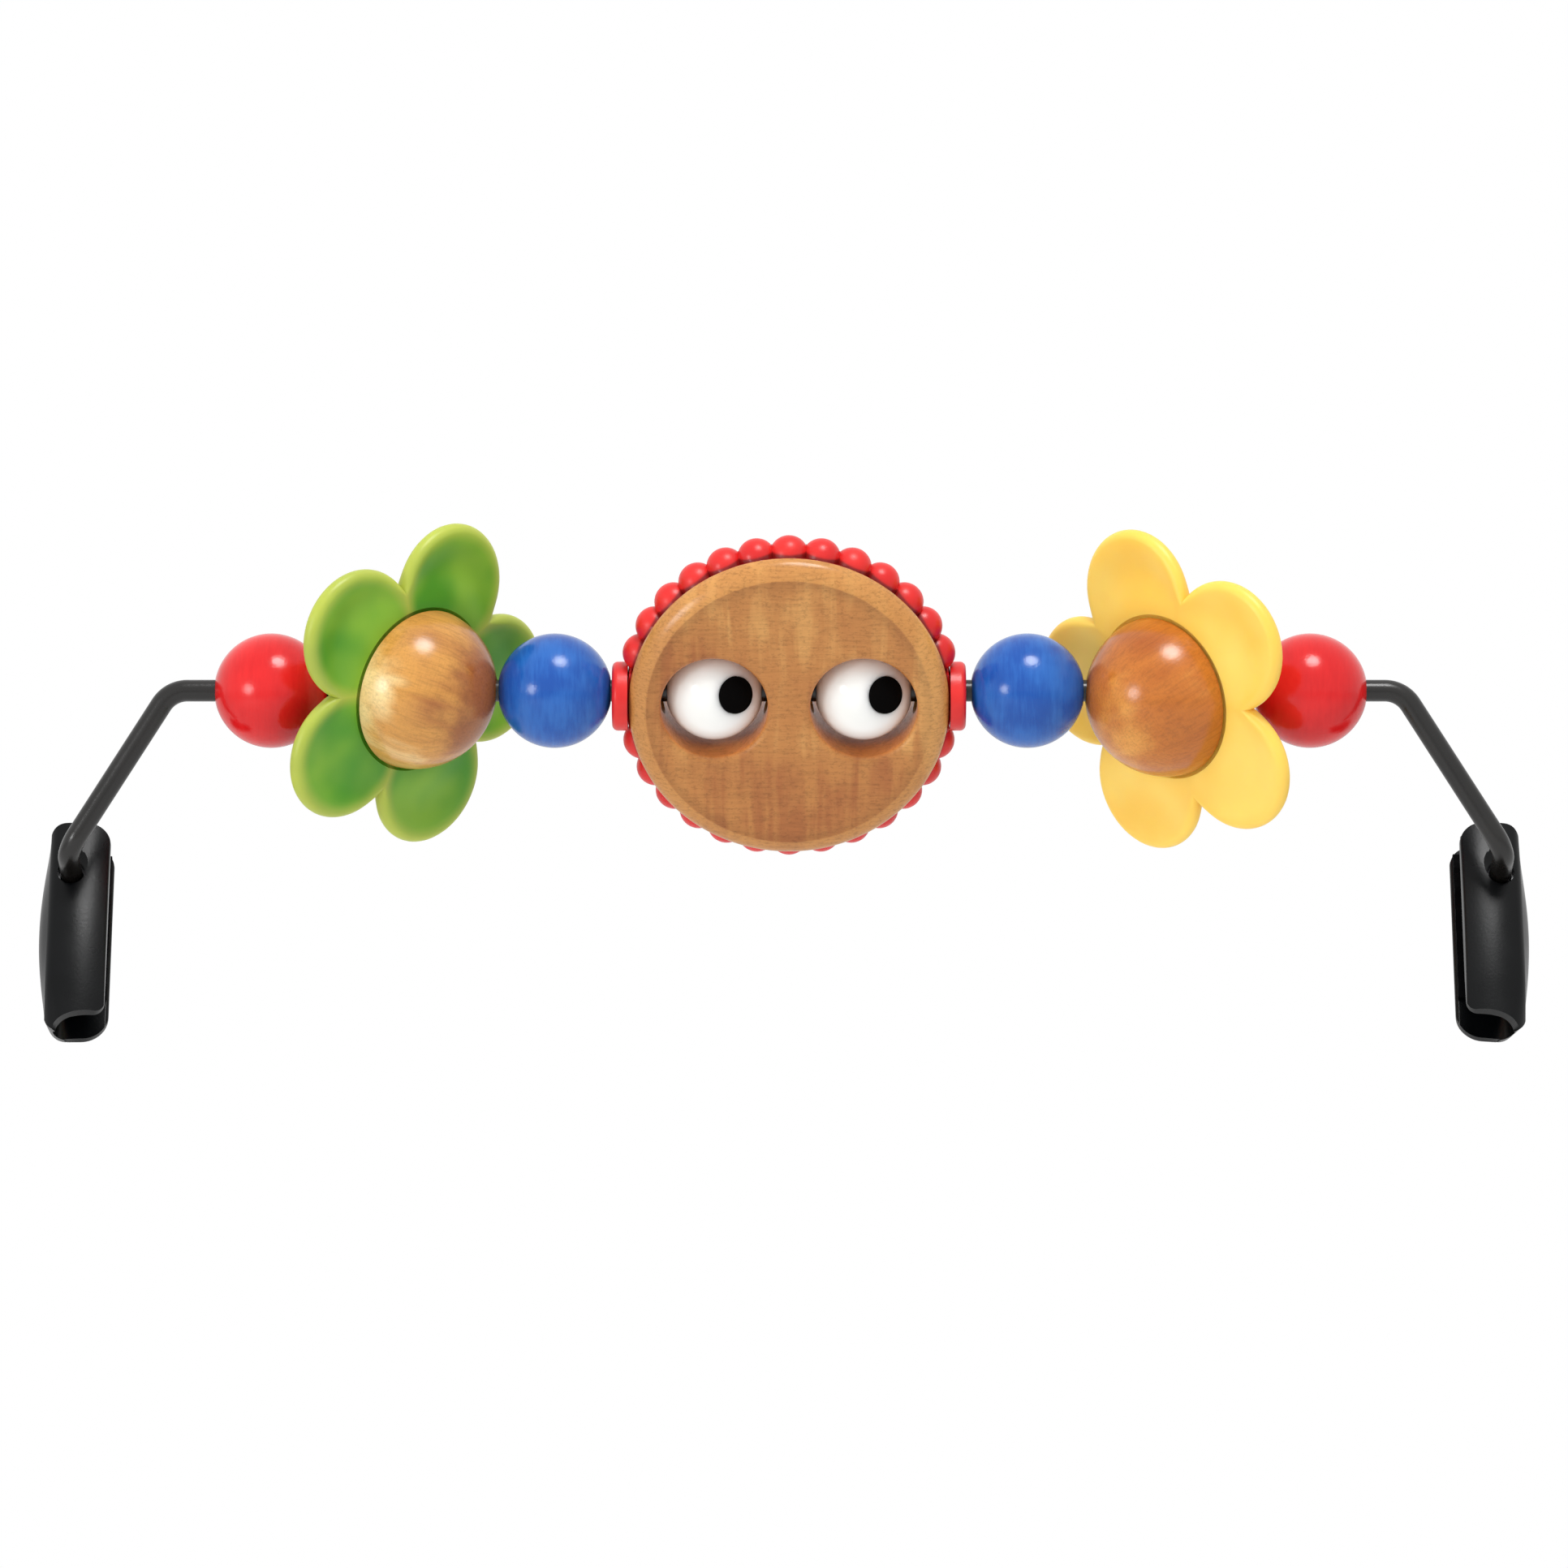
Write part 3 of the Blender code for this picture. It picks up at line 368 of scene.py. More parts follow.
def disc_wood(name, light, mid, dark, edge_light, deep):
    """The face's wood, in the disc's own axes: level lines and faint upright stripes, with painted light and
    shade: a lighter, warmer rounded edge, a dark line just inside its border and a more saturated orange in
    the eye holes.
    """
    n = Surface(name)
    lines = n.noise(1500, 3, 0.6, squeeze=(0.08, 1, 0.5))
    speck = n.noise(1300, 2, 0.7, squeeze=(0.6, 1, 1))
    fan = n.noise(190, 3, 0.55, 0.5, squeeze=(1, 0.12, 0.4), turn=(0, 0, 0.12), shift=(3.1, 0, 0))
    cloud = n.noise(34, 2, shift=(0, 7.7, 0))
    axes = n.axes()
    corner = n.math("ADD", n.math("MULTIPLY", axes["X"], 1.5), n.math("MULTIPLY", axes["Y"], 0.8))
    tone = n.math("ADD", n.blend(fan, cloud, 0.5), corner)
    base = n.ramp(tone, [(0.34, dark), (0.5, mid), (0.66, light)])
    out = n.off_axis(FACE_RADIUS)
    edge = n.ramp(out, [(0.885, 0.0), (0.9, 1.0)])
    # Painted light: the rounded edge is mixed towards a lighter, warmer colour, standing in for the light it
    # catches.
    base = n.mix(n.math("MULTIPLY", edge, 0.45), base, edge_light)
    # Painted shade: a dark ring on the flat just inside its border with the rounded edge.
    base = n.shaded(base, out, [(0.8, 1.0), (0.884, 0.84), (0.9, 1.0)])
    # Painted light: the eye holes' walls get a more saturated orange, standing in for the warm light inside
    # them.
    aside = n.math("SUBTRACT", n.math("ABSOLUTE", axes["X"]), EYE_X)
    above = n.math("SUBTRACT", axes["Y"], HOLE_RISE)
    reach = n.math("ADD", n.math("POWER", aside, 2.0), n.math("POWER", above, 2.0))
    hole = n.ramp(n.math("DIVIDE", reach, (HOLE + HOLE_ROUND) ** 2), [(0.7, 1.0), (0.88, 0.0)])
    base = n.mix(hole, base, deep)
    base = n.shaded(base, lines, [(0.36, 0.88), (0.56, 1.0)])
    base = n.shaded(base, speck, [(0.3, 0.78), (0.52, 1.0)])
    n.set(Base_Color=base, Roughness=n.mix(edge, n.spread(lines, 0.42, 0.32), n.spread(lines, 0.26, 0.2)))
    n.set(Specular_IOR_Level=0.3)
    n.bump(n.blend(lines, speck, 0.6), 0.02 * MM)
    return n.material


def soft_plastic(name, deep, light, glow, seed):
    """Soft moulded plastic, slightly see-through, with painted light: paler towards the rims, standing in for
    light shining through them.
    """
    n = Surface(name)
    rim = n.add("Attribute", attribute_name="rim").outputs["Fac"]
    cloud = n.noise(34, 2, shift=(seed, 0, 0))
    base = n.ramp(cloud, [(0.36, deep), (0.64, light)])
    # Painted light: the rims are mixed towards a paler glow colour.
    n.set(Base_Color=n.mix(n.math("MULTIPLY", rim, 0.6), base, glow))
    n.set(Subsurface_Weight=0.5, Subsurface_Radius=(1.0, 0.8, 0.3), Subsurface_Scale=3 * MM)
    n.set(Roughness=n.spread(cloud, 0.34, 0.42), Specular_IOR_Level=0.4)
    n.bump(n.noise(500, 3, shift=(0, seed, 0)), 0.02 * MM)
    return n.material


def rubber(name, deep, light):
    """Coloured rubber, with painted shade darkening it in the crease where the ring meets the disc."""
    n = Surface(name)
    cloud = n.noise(110, 2)
    # Painted shade: darker in the crease next to the disc's edge.
    base = n.shaded(n.spread(cloud, deep, light), n.off_axis(RING_REACH), [(0.88, 0.35), (0.894, 1.0)])
    n.set(Base_Color=base, Roughness=n.spread(cloud, 0.3, 0.38), Specular_IOR_Level=0.4)
    n.set(Subsurface_Weight=0.1, Subsurface_Radius=(1.0, 0.25, 0.15), Subsurface_Scale=1 * MM)
    n.bump(n.noise(1400, 2), 0.02 * MM)
    return n.material


def black_coat(name, color, roughness, grain, depth, specular, stored=True):
    """Black plastic, rubber or coating with a fine grain."""
    n = Surface(name, stored)
    cloud = n.noise(70, 3)
    pale = tuple(c * 1.35 for c in color)
    n.set(Base_Color=n.spread(cloud, color, pale), Roughness=n.spread(cloud, roughness, roughness + 0.07))
    n.set(Specular_IOR_Level=specular)
    n.bump(n.noise(grain, 2), depth)
    return n.material


def enamel(name, deep, light, roughness, specular, scatter):
    """Smooth hard plastic. The scatter is the share of light that spreads inside it."""
    n = Surface(name)
    cloud = n.noise(80, 2)
    n.set(Base_Color=n.spread(cloud, deep, light), Roughness=n.spread(cloud, roughness, roughness + 0.05))
    n.set(Specular_IOR_Level=specular)
    n.set(Subsurface_Weight=scatter, Subsurface_Radius=(1.0, 1.0, 1.0), Subsurface_Scale=5 * MM)
    n.bump(n.noise(500, 2), 0.01 * MM)
    return n.material


def steel(name):
    """Dark phosphated spring steel."""
    n = Surface(name, stored=False)
    turning = n.noise(200, 3, squeeze=(1, 1, 30))
    n.set(Base_Color=n.spread(turning, (0.05, 0.05, 0.055), (0.09, 0.09, 0.09)), Metallic=1.0)
    n.set(Roughness=n.spread(turning, 0.25, 0.4))
    return n.material


RED = paint("red_paint", srgb(204, 20, 24), srgb(216, 28, 30), seed=1.3)
BLUE = paint("blue_paint", srgb(14, 74, 158), srgb(36, 98, 178), seed=4.1)
GREEN = soft_plastic("green_plastic", srgb(70, 144, 22), srgb(128, 176, 44), srgb(204, 198, 90), seed=2.0)
YELLOW = soft_plastic("yellow_plastic", srgb(248, 202, 84), srgb(250, 213, 102), srgb(244, 200, 84), seed=5.0)
RING_RED = rubber("red_rubber", srgb(206, 28, 28), srgb(218, 38, 34))
BEECH = wood("beech", srgb(240, 208, 146), srgb(206, 146, 70), srgb(156, 92, 44),
             seed=1.7, line=1300, shade_drift=0.42)
DARK_BEECH = wood("dark_beech", srgb(224, 156, 70), srgb(188, 108, 36), srgb(160, 80, 18),
                  seed=3.9, line=1400, shade_drift=0.1)
FACE_WOOD = disc_wood("face_wood", srgb(204, 148, 84), srgb(184, 123, 66), srgb(164, 100, 54),
                      edge_light=srgb(208, 150, 84), deep=srgb(214, 118, 48))
WHITE = enamel("eye_white", srgb(238, 238, 234), srgb(242, 242, 239),
               roughness=0.12, specular=0.5, scatter=1.0)
PUPIL = enamel("pupil_black", srgb(3, 2, 2), srgb(5, 4, 4), roughness=0.6, specular=0.03, scatter=0.0)
COAT = black_coat("black_coated_steel", srgb(14, 12, 10), 0.24, grain=900, depth=0.03 * MM, specular=0.5)
CLIP = black_coat("clip_plastic", srgb(3, 4, 5), 0.25, grain=1300, depth=0.02 * MM, specular=0.18)
PAD = black_coat("pad_rubber", srgb(5, 5, 6), 0.7, grain=1500, depth=0.04 * MM, specular=0.03, stored=False)
STEEL = steel("spring_steel")


# Wire

WIRE_RADIUS = 3.0 * MM
WIRE_SIDES = 48
WIRE_END = 5.1 * MM
ELBOW_BEND = 8 * MM
ROW_BEND = 8.5 * MM
BEND_STEPS = 24


def filleted(corners, radii):
    """A path through corners, with an arc of its own radius at each inner one."""
    path = [corners[0]]
    for before, corner, after, radius in zip(corners, corners[1:], corners[2:], radii):
        a = (before - corner).normalized()
        b = (after - corner).normalized()
        half = a.angle(b) / 2
        center = corner + (a + b).normalized() * radius / math.sin(half)
        start = corner + a * (radius / math.tan(half)) - center
        end = corner + b * (radius / math.tan(half)) - center
        normal = start.cross(end).normalized()
        for i in range(BEND_STEPS + 1):
            path.append(center + Matrix.Rotation(start.angle(end) * i / BEND_STEPS, 3, normal) @ start)
    path.append(corners[-1])
    return path


def elbow(side):
    return Vector((side * PIN_X, AXIS_Y, AXIS_Z - ARM_DROP))


def pin_point(side, depth):
    """A point on the wire's end, at a depth inside the clip's front."""
    return elbow(side) + INTO_CLIP * (STANDOFF + depth)


def make_wire():
    corners = [pin_point(-1, WIRE_END), elbow(-1), axis_point(-BEND_X), axis_point(BEND_X), elbow(1),
               pin_point(1, WIRE_END)]
    path = filleted(corners, [ELBOW_BEND, ROW_BEND, ROW_BEND, ELBOW_BEND])
    angles = [TAU * k / WIRE_SIDES for k in range(WIRE_SIDES)]
    columns = []
    up = Vector((0, 1, 0.2)).normalized()
    for i, point in enumerate(path):
        ahead = (path[min(i + 1, len(path) - 1)] - path[max(i - 1, 0)]).normalized()
        across = ahead.cross(up).normalized()
        up = across.cross(ahead).normalized()
        columns.append([point + WIRE_RADIUS * (across * math.cos(a) + up * math.sin(a)) for a in angles])
    wire = place("wire", skinned(columns, closed=False), Matrix.Identity(3), Vector(), COAT, sharp=50)
    dress(wire, "bar", "wire_bar")


# Beads and eyes

BALL_POINTS = 64
BALL_STEPS = 96
MOUTH_SOFT = 0.25 * MM
EYE = 13.5 * MM
PUPIL_RADIUS = 5.1 * MM
PUPIL_DOME = 13.7 * MM
PUPIL_DEEP = 2.4 * MM
PUPIL_PLAY = 0.12 * MM
PUPIL_STEPS = 72


def ball_profile(radius):
    """A bored ball's profile, with softened mouths."""
    mouth = math.asin(BORE / radius)
    outside = arc((0, 0), radius, HALF_PI - mouth, mouth - HALF_PI, BALL_POINTS)
    end = outside[0][1]
    inside = [(BORE, end - MOUTH_SOFT), (BORE + MOUTH_SOFT * 0.4, end - MOUTH_SOFT * 0.2)]
    return inside + outside[1:-1] + [(r, -h) for r, h in reversed(inside)]


def make_bead(name, x, material, spin):
    turn = Matrix.Rotation(spin, 3, "X") @ TO_X
    bead = place(name + "_fine", turned(ball_profile(BEAD), BALL_STEPS), turn, axis_point(x), material)
    dress(bead, name, name)


def make_eye(side_name, side):
    """An eyeball with a pocket to one side for its pupil's domed inlay."""
    center = axis_point(FACE_X + side * EYE_X)
    gaze = facing(swing=28.5, droop=7)
    eye = place("eye_" + side_name, turned(ball_profile(EYE), BALL_STEPS), TO_X, center, WHITE)
    half = math.asin(PUPIL_RADIUS / PUPIL_DOME)
    back = PUPIL_DOME * math.cos(half) - PUPIL_DEEP
    dome = arc((0, 0), PUPIL_DOME, HALF_PI - half, HALF_PI, 8)[:-1]
    profile = [(0, back), (PUPIL_RADIUS, back)] + dome + [(0, PUPIL_DOME)]
    inlay = place("inlay_" + side_name, turned(profile, PUPIL_STEPS), gaze, center, PUPIL)
    floor = back - GAP
    length = EYE + OVERSHOOT - floor
    middle = center + gaze @ Vector((0, 0, floor + length / 2))
    cut(eye, [rod("pocket", PUPIL_RADIUS + PUPIL_PLAY, length, middle, gaze, PUPIL_STEPS)])
    weighted(eye)
    dress(eye, "eye_" + side_name, "eyeball_" + side_name)
    dress(inlay, "eye_" + side_name, "pupil_" + side_name)


# Flowers

PETALS = 5
HALF_PITCH = math.pi / PETALS
LOBE = 18.3 * MM
LOBE_AT = 28.6 * MM
HUB_HALF = 1.9 * MM
RIM = 2.2 * MM
RIM_BAND = 5.0 * MM
DISH = 1.3 * MM
DISH_ACROSS = 1.2
DISH_OUTWARD = 1.15
LEAN_BACK = 0.06
SEAT = 1.3 * MM
BALL_GROOVE = 1.6 * MM
SEAM_DEEP = 0.8 * MM
SEAM_WIDE = 0.45 * MM
FLOWER_BORE_LENGTH = 52 * MM
NOTCH_AT = LOBE_AT * math.cos(HALF_PITCH) + math.sqrt(LOBE ** 2 - (LOBE_AT * math.sin(HALF_PITCH)) ** 2)
NOTCH = math.acos((LOBE ** 2 + LOBE_AT ** 2 - NOTCH_AT ** 2) / (2 * LOBE * LOBE_AT))
WIDEST = math.pi - NOTCH
PETAL_STEPS = 48
NOTCH_STEPS = 5
FRONT_STEPS = 16
RIM_STEPS = 12
BACK_STEPS = 9


def leaning(point, height):
    """Lifts a point of the petals' plane to a height, which falls back with its distance from the ball."""
    return point + Vector((0, 0, height - LEAN_BACK * max(0, point.length - BALL - GAP)))


def petal_column(lobe, step):
    """One section of the petal ring: hub, dished front, round rim, back."""
    share = step / PETAL_STEPS
    around = -WIDEST + 2 * WIDEST * share
    angle = lobe * TAU / PETALS
    turn = Matrix.Rotation(angle, 3, "Z")
    edge = turn @ Vector((LOBE_AT + LOBE * math.cos(around), LOBE * math.sin(around), 0))
    outward = turn @ Vector((math.cos(around), math.sin(around), 0))
    blend = eased(clamp(min(step, PETAL_STEPS - step) / NOTCH_STEPS))
    outward = (outward * blend + edge.normalized() * (1 - blend)).normalized()
    hub_angle = angle - HALF_PITCH + TAU / PETALS * share
    hub = Vector((math.cos(hub_angle), math.sin(hub_angle), 0))
    inner = hub * (BALL - SEAT)
    foot = hub * (BALL + GAP)
    shoulder = foot + hub * SEAM_WIDE
    rim = edge - outward * RIM
    dish = DISH * math.sin(math.pi * share) ** DISH_ACROSS

    def sunk(out):
        """How deep the dish is at a share of the way from the ball to the rim."""
        return dish * math.sin(math.pi * out ** DISH_OUTWARD) ** 2

    points = [leaning(inner, HUB_HALF - SEAM_DEEP), leaning(foot, HUB_HALF - SEAM_DEEP)]
    for i in range(FRONT_STEPS):
        out = i / FRONT_STEPS
        points.append(leaning(shoulder.lerp(rim, out), HUB_HALF - sunk(out) + (RIM - HUB_HALF) * out))
    for i in range(RIM_STEPS + 1):
        tip = HALF_PI - math.pi * i / RIM_STEPS
        points.append(leaning(rim + outward * RIM * math.cos(tip), RIM * math.sin(tip)))
    for i in range(1, BACK_STEPS):
        out = 1 - i / BACK_STEPS
        points.append(leaning(shoulder.lerp(rim, out), -HUB_HALF - sunk(out) + (HUB_HALF - RIM) * out))
    return points + [leaning(foot, -HUB_HALF), leaning(inner, -HUB_HALF)]


def rim_share(point):
    """1 at the petals' outline, falling to 0 some way in."""
    around = (math.atan2(point.y, point.x) + HALF_PITCH) % (TAU / PETALS) - HALF_PITCH
    here = Vector((math.cos(around), math.sin(around))) * point.length
    return eased(clamp(1 - (LOBE - (here - Vector((LOBE_AT, 0))).length) / RIM_BAND))


def make_flower(color, x, rise, swing, droop, phase, plastic, timber, grain):
    """A ball bored across its own axis, and a petal ring in its groove."""
    turn = facing(swing, droop)
    center = axis_point(x) + Vector((0, 0, rise))
    floor, lip_half = BALL - BALL_GROOVE, HUB_HALF + GAP
    upper = arc((0, 0), BALL, HALF_PI, math.asin(lip_half / BALL), 40)[1:]
    profile = [(0, BALL)] + upper + [(floor, lip_half), (floor, -lip_half)]
    profile += [(r, -h) for r, h in reversed(upper)] + [(0, -BALL)]
    ball = place(color + "_ball", turned(profile, 112), turn, center, timber)
    cut(ball, [rod("bore", BORE, FLOWER_BORE_LENGTH, axis_point(x), TO_X, 48)])
    weighted(ball)
    dress(ball, color + "_flower", color + "_flower_ball", axes=grain_axes(center, grain))
    columns = [petal_column(lobe, step) for lobe in range(PETALS) for step in range(PETAL_STEPS)]
    spun = turn @ Matrix.Rotation(math.radians(phase), 3, "Z")
    petals = place(color + "_petal_ring", skinned(columns), spun, center, plastic, sharp=60)
    # Painted light for the petals' rims, stored for their material.
    painted_rim_light = petals.data.attributes.new("rim", "FLOAT", "POINT")
    painted_rim_light.data.foreach_set("value", [rim_share(Vector((p.x, p.y))) for column in columns for p in column])
    dress(petals, color + "_flower", color + "_petals")


# Face: radii and heights are those of the disc's own axis

HALF_THICK = 11.1 * MM
FACE_EDGE = 4.8 * MM
FACE_SWEEP = math.radians(50)
FACE_SAG = 1.5 * MM
FACE_TURN = facing(swing=0, droop=25)
FACE_MIDDLE = axis_point(FACE_X) + Vector((0, 0, -FACE_SAG))
FACE_BORE = 4.8 * MM
FACE_BORE_LENGTH = 104 * MM
FLAT_STEP = 0.4 * MM
BACK_SETBACK = 1.6 * MM
RING_IN = 38.6 * MM
BAND = 43.3 * MM
BAND_HALF = 5.95 * MM
BAND_SOFT = 0.35 * MM
PITCHES = 30
RING_STEPS = 16
CREST_POINTS = 17
PAD_SHARE = 0.8
CIRCLE = 42.4 * MM
BUMP = 5.351 * MM
BUMP_SWEEP = math.radians(76)
LUG = 9.5 * MM
LUG_FOOT = 44.3 * MM
LUG_TOP = 48.6 * MM
LUG_ROUND = 1.6 * MM


def flange(radius):
    """Half of the disc's profile: the flat, the rounded edge and the side of the ring's groove."""
    groove = BAND_HALF + GAP
    reach, rise = FACE_EDGE / (1 - math.cos(FACE_SWEEP)), FACE_EDGE / math.sin(FACE_SWEEP)
    edge = [(radius - reach + reach * x, HALF_THICK - FACE_EDGE + rise * y)
            for x, y in arc((0, 0), 1, FACE_SWEEP, 0, 24)]
    flat = [(0, HALF_THICK), (edge[0][0] - FLAT_STEP, HALF_THICK)]
    return flat + edge + [(radius, groove), (RING_IN - GAP, groove)]


def face_bore():
    return rod("bore", FACE_BORE, FACE_BORE_LENGTH, FACE_MIDDLE, TO_X, 48)


def make_disc():
    """The disc, with a smaller back flange, a cross bore and two flared eye holes."""
    back = [(r, -h) for r, h in flange(FACE_RADIUS - BACK_SETBACK)]
    profile = flange(FACE_RADIUS) + back[::-1]
    disc = place("disc", turned(profile, 160), FACE_TURN, FACE_MIDDLE, FACE_WOOD)
    flare = arc((HOLE + HOLE_ROUND, HALF_THICK - HOLE_ROUND), HOLE_ROUND, HALF_PI, math.pi, 14)
    over = HALF_THICK + OVERSHOOT
    hole = [(0, over), (flare[0][0], over)] + flare
    hole += [(r, -h) for r, h in reversed(hole)]
    tools = [face_bore()]
    for side in (-1, 1):
        middle = FACE_MIDDLE + FACE_TURN @ Vector((side * EYE_X, HOLE_RISE, 0))
        tools.append(place("hole", turned(hole, 96), FACE_TURN, middle))
    cut(disc, tools, sharp=15)
    weighted(disc)
    dress(disc, "face", "face_disc")


def ring_section(column):
    """One section of the ring: a band with a bump outside it, or with a low pad under a lug."""
    pitch = TAU / PITCHES
    slot, step = divmod(column, RING_STEPS)
    half = PITCHES // 2
    if slot % half == 0 or (slot % half == half - 1 and step > 0):
        pad, last = FACE_RADIUS + 2 * GAP, CREST_POINTS - 1
        crest = [(pad, BAND_HALF * PAD_SHARE * (1 - 2 * i / last)) for i in range(CREST_POINTS)]
    else:
        offset = pitch * (step / RING_STEPS - 0.5)
        bump = math.sqrt(BUMP ** 2 - (CIRCLE * math.sin(offset)) ** 2)
        crest = arc((CIRCLE * math.cos(offset), 0), bump, BUMP_SWEEP, -BUMP_SWEEP, CREST_POINTS)
    profile = [(RING_IN, -BAND_HALF), (RING_IN, BAND_HALF), (BAND - BAND_SOFT, BAND_HALF),
               (BAND, BAND_HALF - BAND_SOFT)]
    profile += crest + [(BAND, -BAND_HALF + BAND_SOFT), (BAND - BAND_SOFT, -BAND_HALF)]
    angle = pitch * column / RING_STEPS
    spoke = Vector((math.cos(angle), math.sin(angle), 0))
    return [spoke * r + Vector((0, 0, h)) for r, h in profile]


def make_ring():
    """The beaded ring, with a flat round lug at each side for the wire."""
    columns = [ring_section(column) for column in range(PITCHES * RING_STEPS)]
    ring = place("beaded_ring", skinned(columns), FACE_TURN, FACE_MIDDLE, RING_RED, sharp=50)
    rim = arc((LUG - LUG_ROUND, LUG_TOP - LUG_ROUND), LUG_ROUND, HALF_PI, 0, 12)
    profile = [(0, LUG_TOP)] + rim + [(LUG, LUG_FOOT), (0, LUG_FOOT)]
    lugs = [place("lug", turned(profile, 72), Matrix.Rotation(side * HALF_PI, 3, "Y"), FACE_MIDDLE, RING_RED)
            for side in (-1, 1)]
    cut(ring, lugs, "UNION")
    cut(ring, [face_bore()])
    weighted(ring)
    dress(ring, "face", "face_ring")


# Clips: X away from the bar's middle, depths from the front, heights from the pin

CLIP_DEEP = 20.5 * MM
CLIP_TOP = 15.8 * MM
CLIP_LOW = -46.0 * MM
WIDE = 16.4 * MM
PIN_OFFSET = 2.1 * MM
BULGE = 2.8 * MM
BULGE_INSET = 2 * MM
BARREL = 2.6 * MM
CROWN = 1.6 * MM
CROWN_AT = 2.0 * MM
BOW = 2.0 * MM
FRONT_WALL = 5.4 * MM
BACK_WALL = 2.1 * MM
FLANK_WALL = 2.2 * MM
LIP_WALL = 2.3 * MM
CHANNEL = WIDE / 2 + BULGE - BARREL - FLANK_WALL
TAPER = 15.0 * MM
FRONT_EDGE = 0.9 * MM
FRONT_CORNER = 3.2 * MM
FRONT_CORNER_GAIN = 3.0 * MM
BACK_CORNER = 3.6 * MM
SLOT_CORNER = 2.4 * MM
SLOT_CORNER_GAIN = 3.2 * MM
INNER_LIP = 0.4 * MM
INNER_LIP_GAIN = 0.8 * MM
LAND = 0.8 * MM
LAND_FROM = 8.2 * MM
LAND_TO = 15.6 * MM
LAND_SLOPE = 0.02 * MM
LEAST = 0.1 * MM
CORNER_IN = 5.8 * MM
CORNER_OUT = 4.4 * MM
FLANK_ANGLE = math.radians(15)
PIN_HOLE = 3.8 * MM
PIN_HOLE_LENGTH = 14 * MM
COUNTERBORE = 5.5 * MM
COUNTERBORE_LENGTH = 4.8 * MM
COUNTERBORE_AT = 6.0 * MM
SCOOP_HALVES = (5.5 * MM, 3.6 * MM, 8 * MM)
SCOOP_RISE = 2.5 * MM
SCOOP_OUT = 1.8 * MM
SCOOP_LEAN = math.radians(24)
UPPER_LEVELS = 36
TAPER_LEVELS = 21


def front_depth(x, height):
    """The front surface's depth: bowed back at top and bottom, and crowned across."""
    middle, reach = (CLIP_TOP + CLIP_LOW) / 2, (CLIP_TOP - CLIP_LOW) / 2
    return BOW * ((height - middle) / reach) ** 2 + CROWN * (2 * (x - CROWN_AT) / WIDE) ** 2


def front_slope(x):
    return math.atan(8 * CROWN * (x - CROWN_AT) / WIDE ** 2)


def clip_section(side, height):
    """The C-shaped section at a height. Towards the mouth below, its corners widen and its front thins."""
    taper = clamp((TAPER + CLIP_LOW - height) / TAPER)
    swell = eased(taper)
    half, edge = WIDE / 2, FRONT_EDGE
    outer, inner = FRONT_CORNER + FRONT_CORNER_GAIN * swell, SLOT_CORNER + SLOT_CORNER_GAIN * swell
    near, far = -front_slope(-half), front_slope(half - outer)
    start = -half + edge * (1 - math.sin(near))
    stop = half - outer * (math.cos(math.pi / 6) - math.sin(far))
    points = arc((-half + edge, front_depth(start, height) + edge * math.cos(near)), edge,
                 math.pi, 1.5 * math.pi - near, 8)
    for i in range(1, 24):
        x = start + (stop - start) * i / 24
        points.append((x, front_depth(x, height)))
    points += arc((stop - outer * math.sin(far), front_depth(stop, height) + outer * math.cos(far)), outer,
                  far - HALF_PI, -math.pi / 6, 14)
    flank_start, flank = points[-1][1], CLIP_DEEP - BACK_CORNER
    down = (CLIP_TOP - BULGE_INSET - height) / (CLIP_TOP - CLIP_LOW - 2 * BULGE_INSET)
    bulge = BULGE * math.sin(math.pi * clamp(down))
    points += [(half + bulge * math.sin(math.pi * i / 30), flank_start + (flank - flank_start) * i / 30)
               for i in range(1, 31)]
    points += arc((half - BACK_CORNER, flank), BACK_CORNER, 0, HALF_PI, 12)[1:]
    lip = BACK_WALL / 2
    points += arc((-half + lip, CLIP_DEEP - lip), lip, HALF_PI, 1.5 * math.pi, 12)
    points += arc((CHANNEL - inner, CLIP_DEEP - BACK_WALL - inner), inner, HALF_PI, 0, 8)
    lip_depth = front_depth(0, CLIP_LOW) + LIP_WALL
    front = FRONT_WALL + (lip_depth - FRONT_WALL) * taper
    land = CHANNEL - LAND * max(0, 1 - 4 * taper)
    low = max(LAND_FROM, front + inner + LEAST)
    high = min(LAND_TO, CLIP_DEEP - BACK_WALL - inner - LEAST)
    points += [(CHANNEL, high), (land, high - LAND_SLOPE), (land, low + LAND_SLOPE), (CHANNEL, low)]
    points += arc((CHANNEL - inner, front + inner), inner, 0, -HALF_PI, 8)
    points += [(-half, max(front, points[0][1] + INNER_LIP + INNER_LIP_GAIN * swell))]
    return [Vector((side * (x - PIN_OFFSET), depth, height)) for x, depth in points]


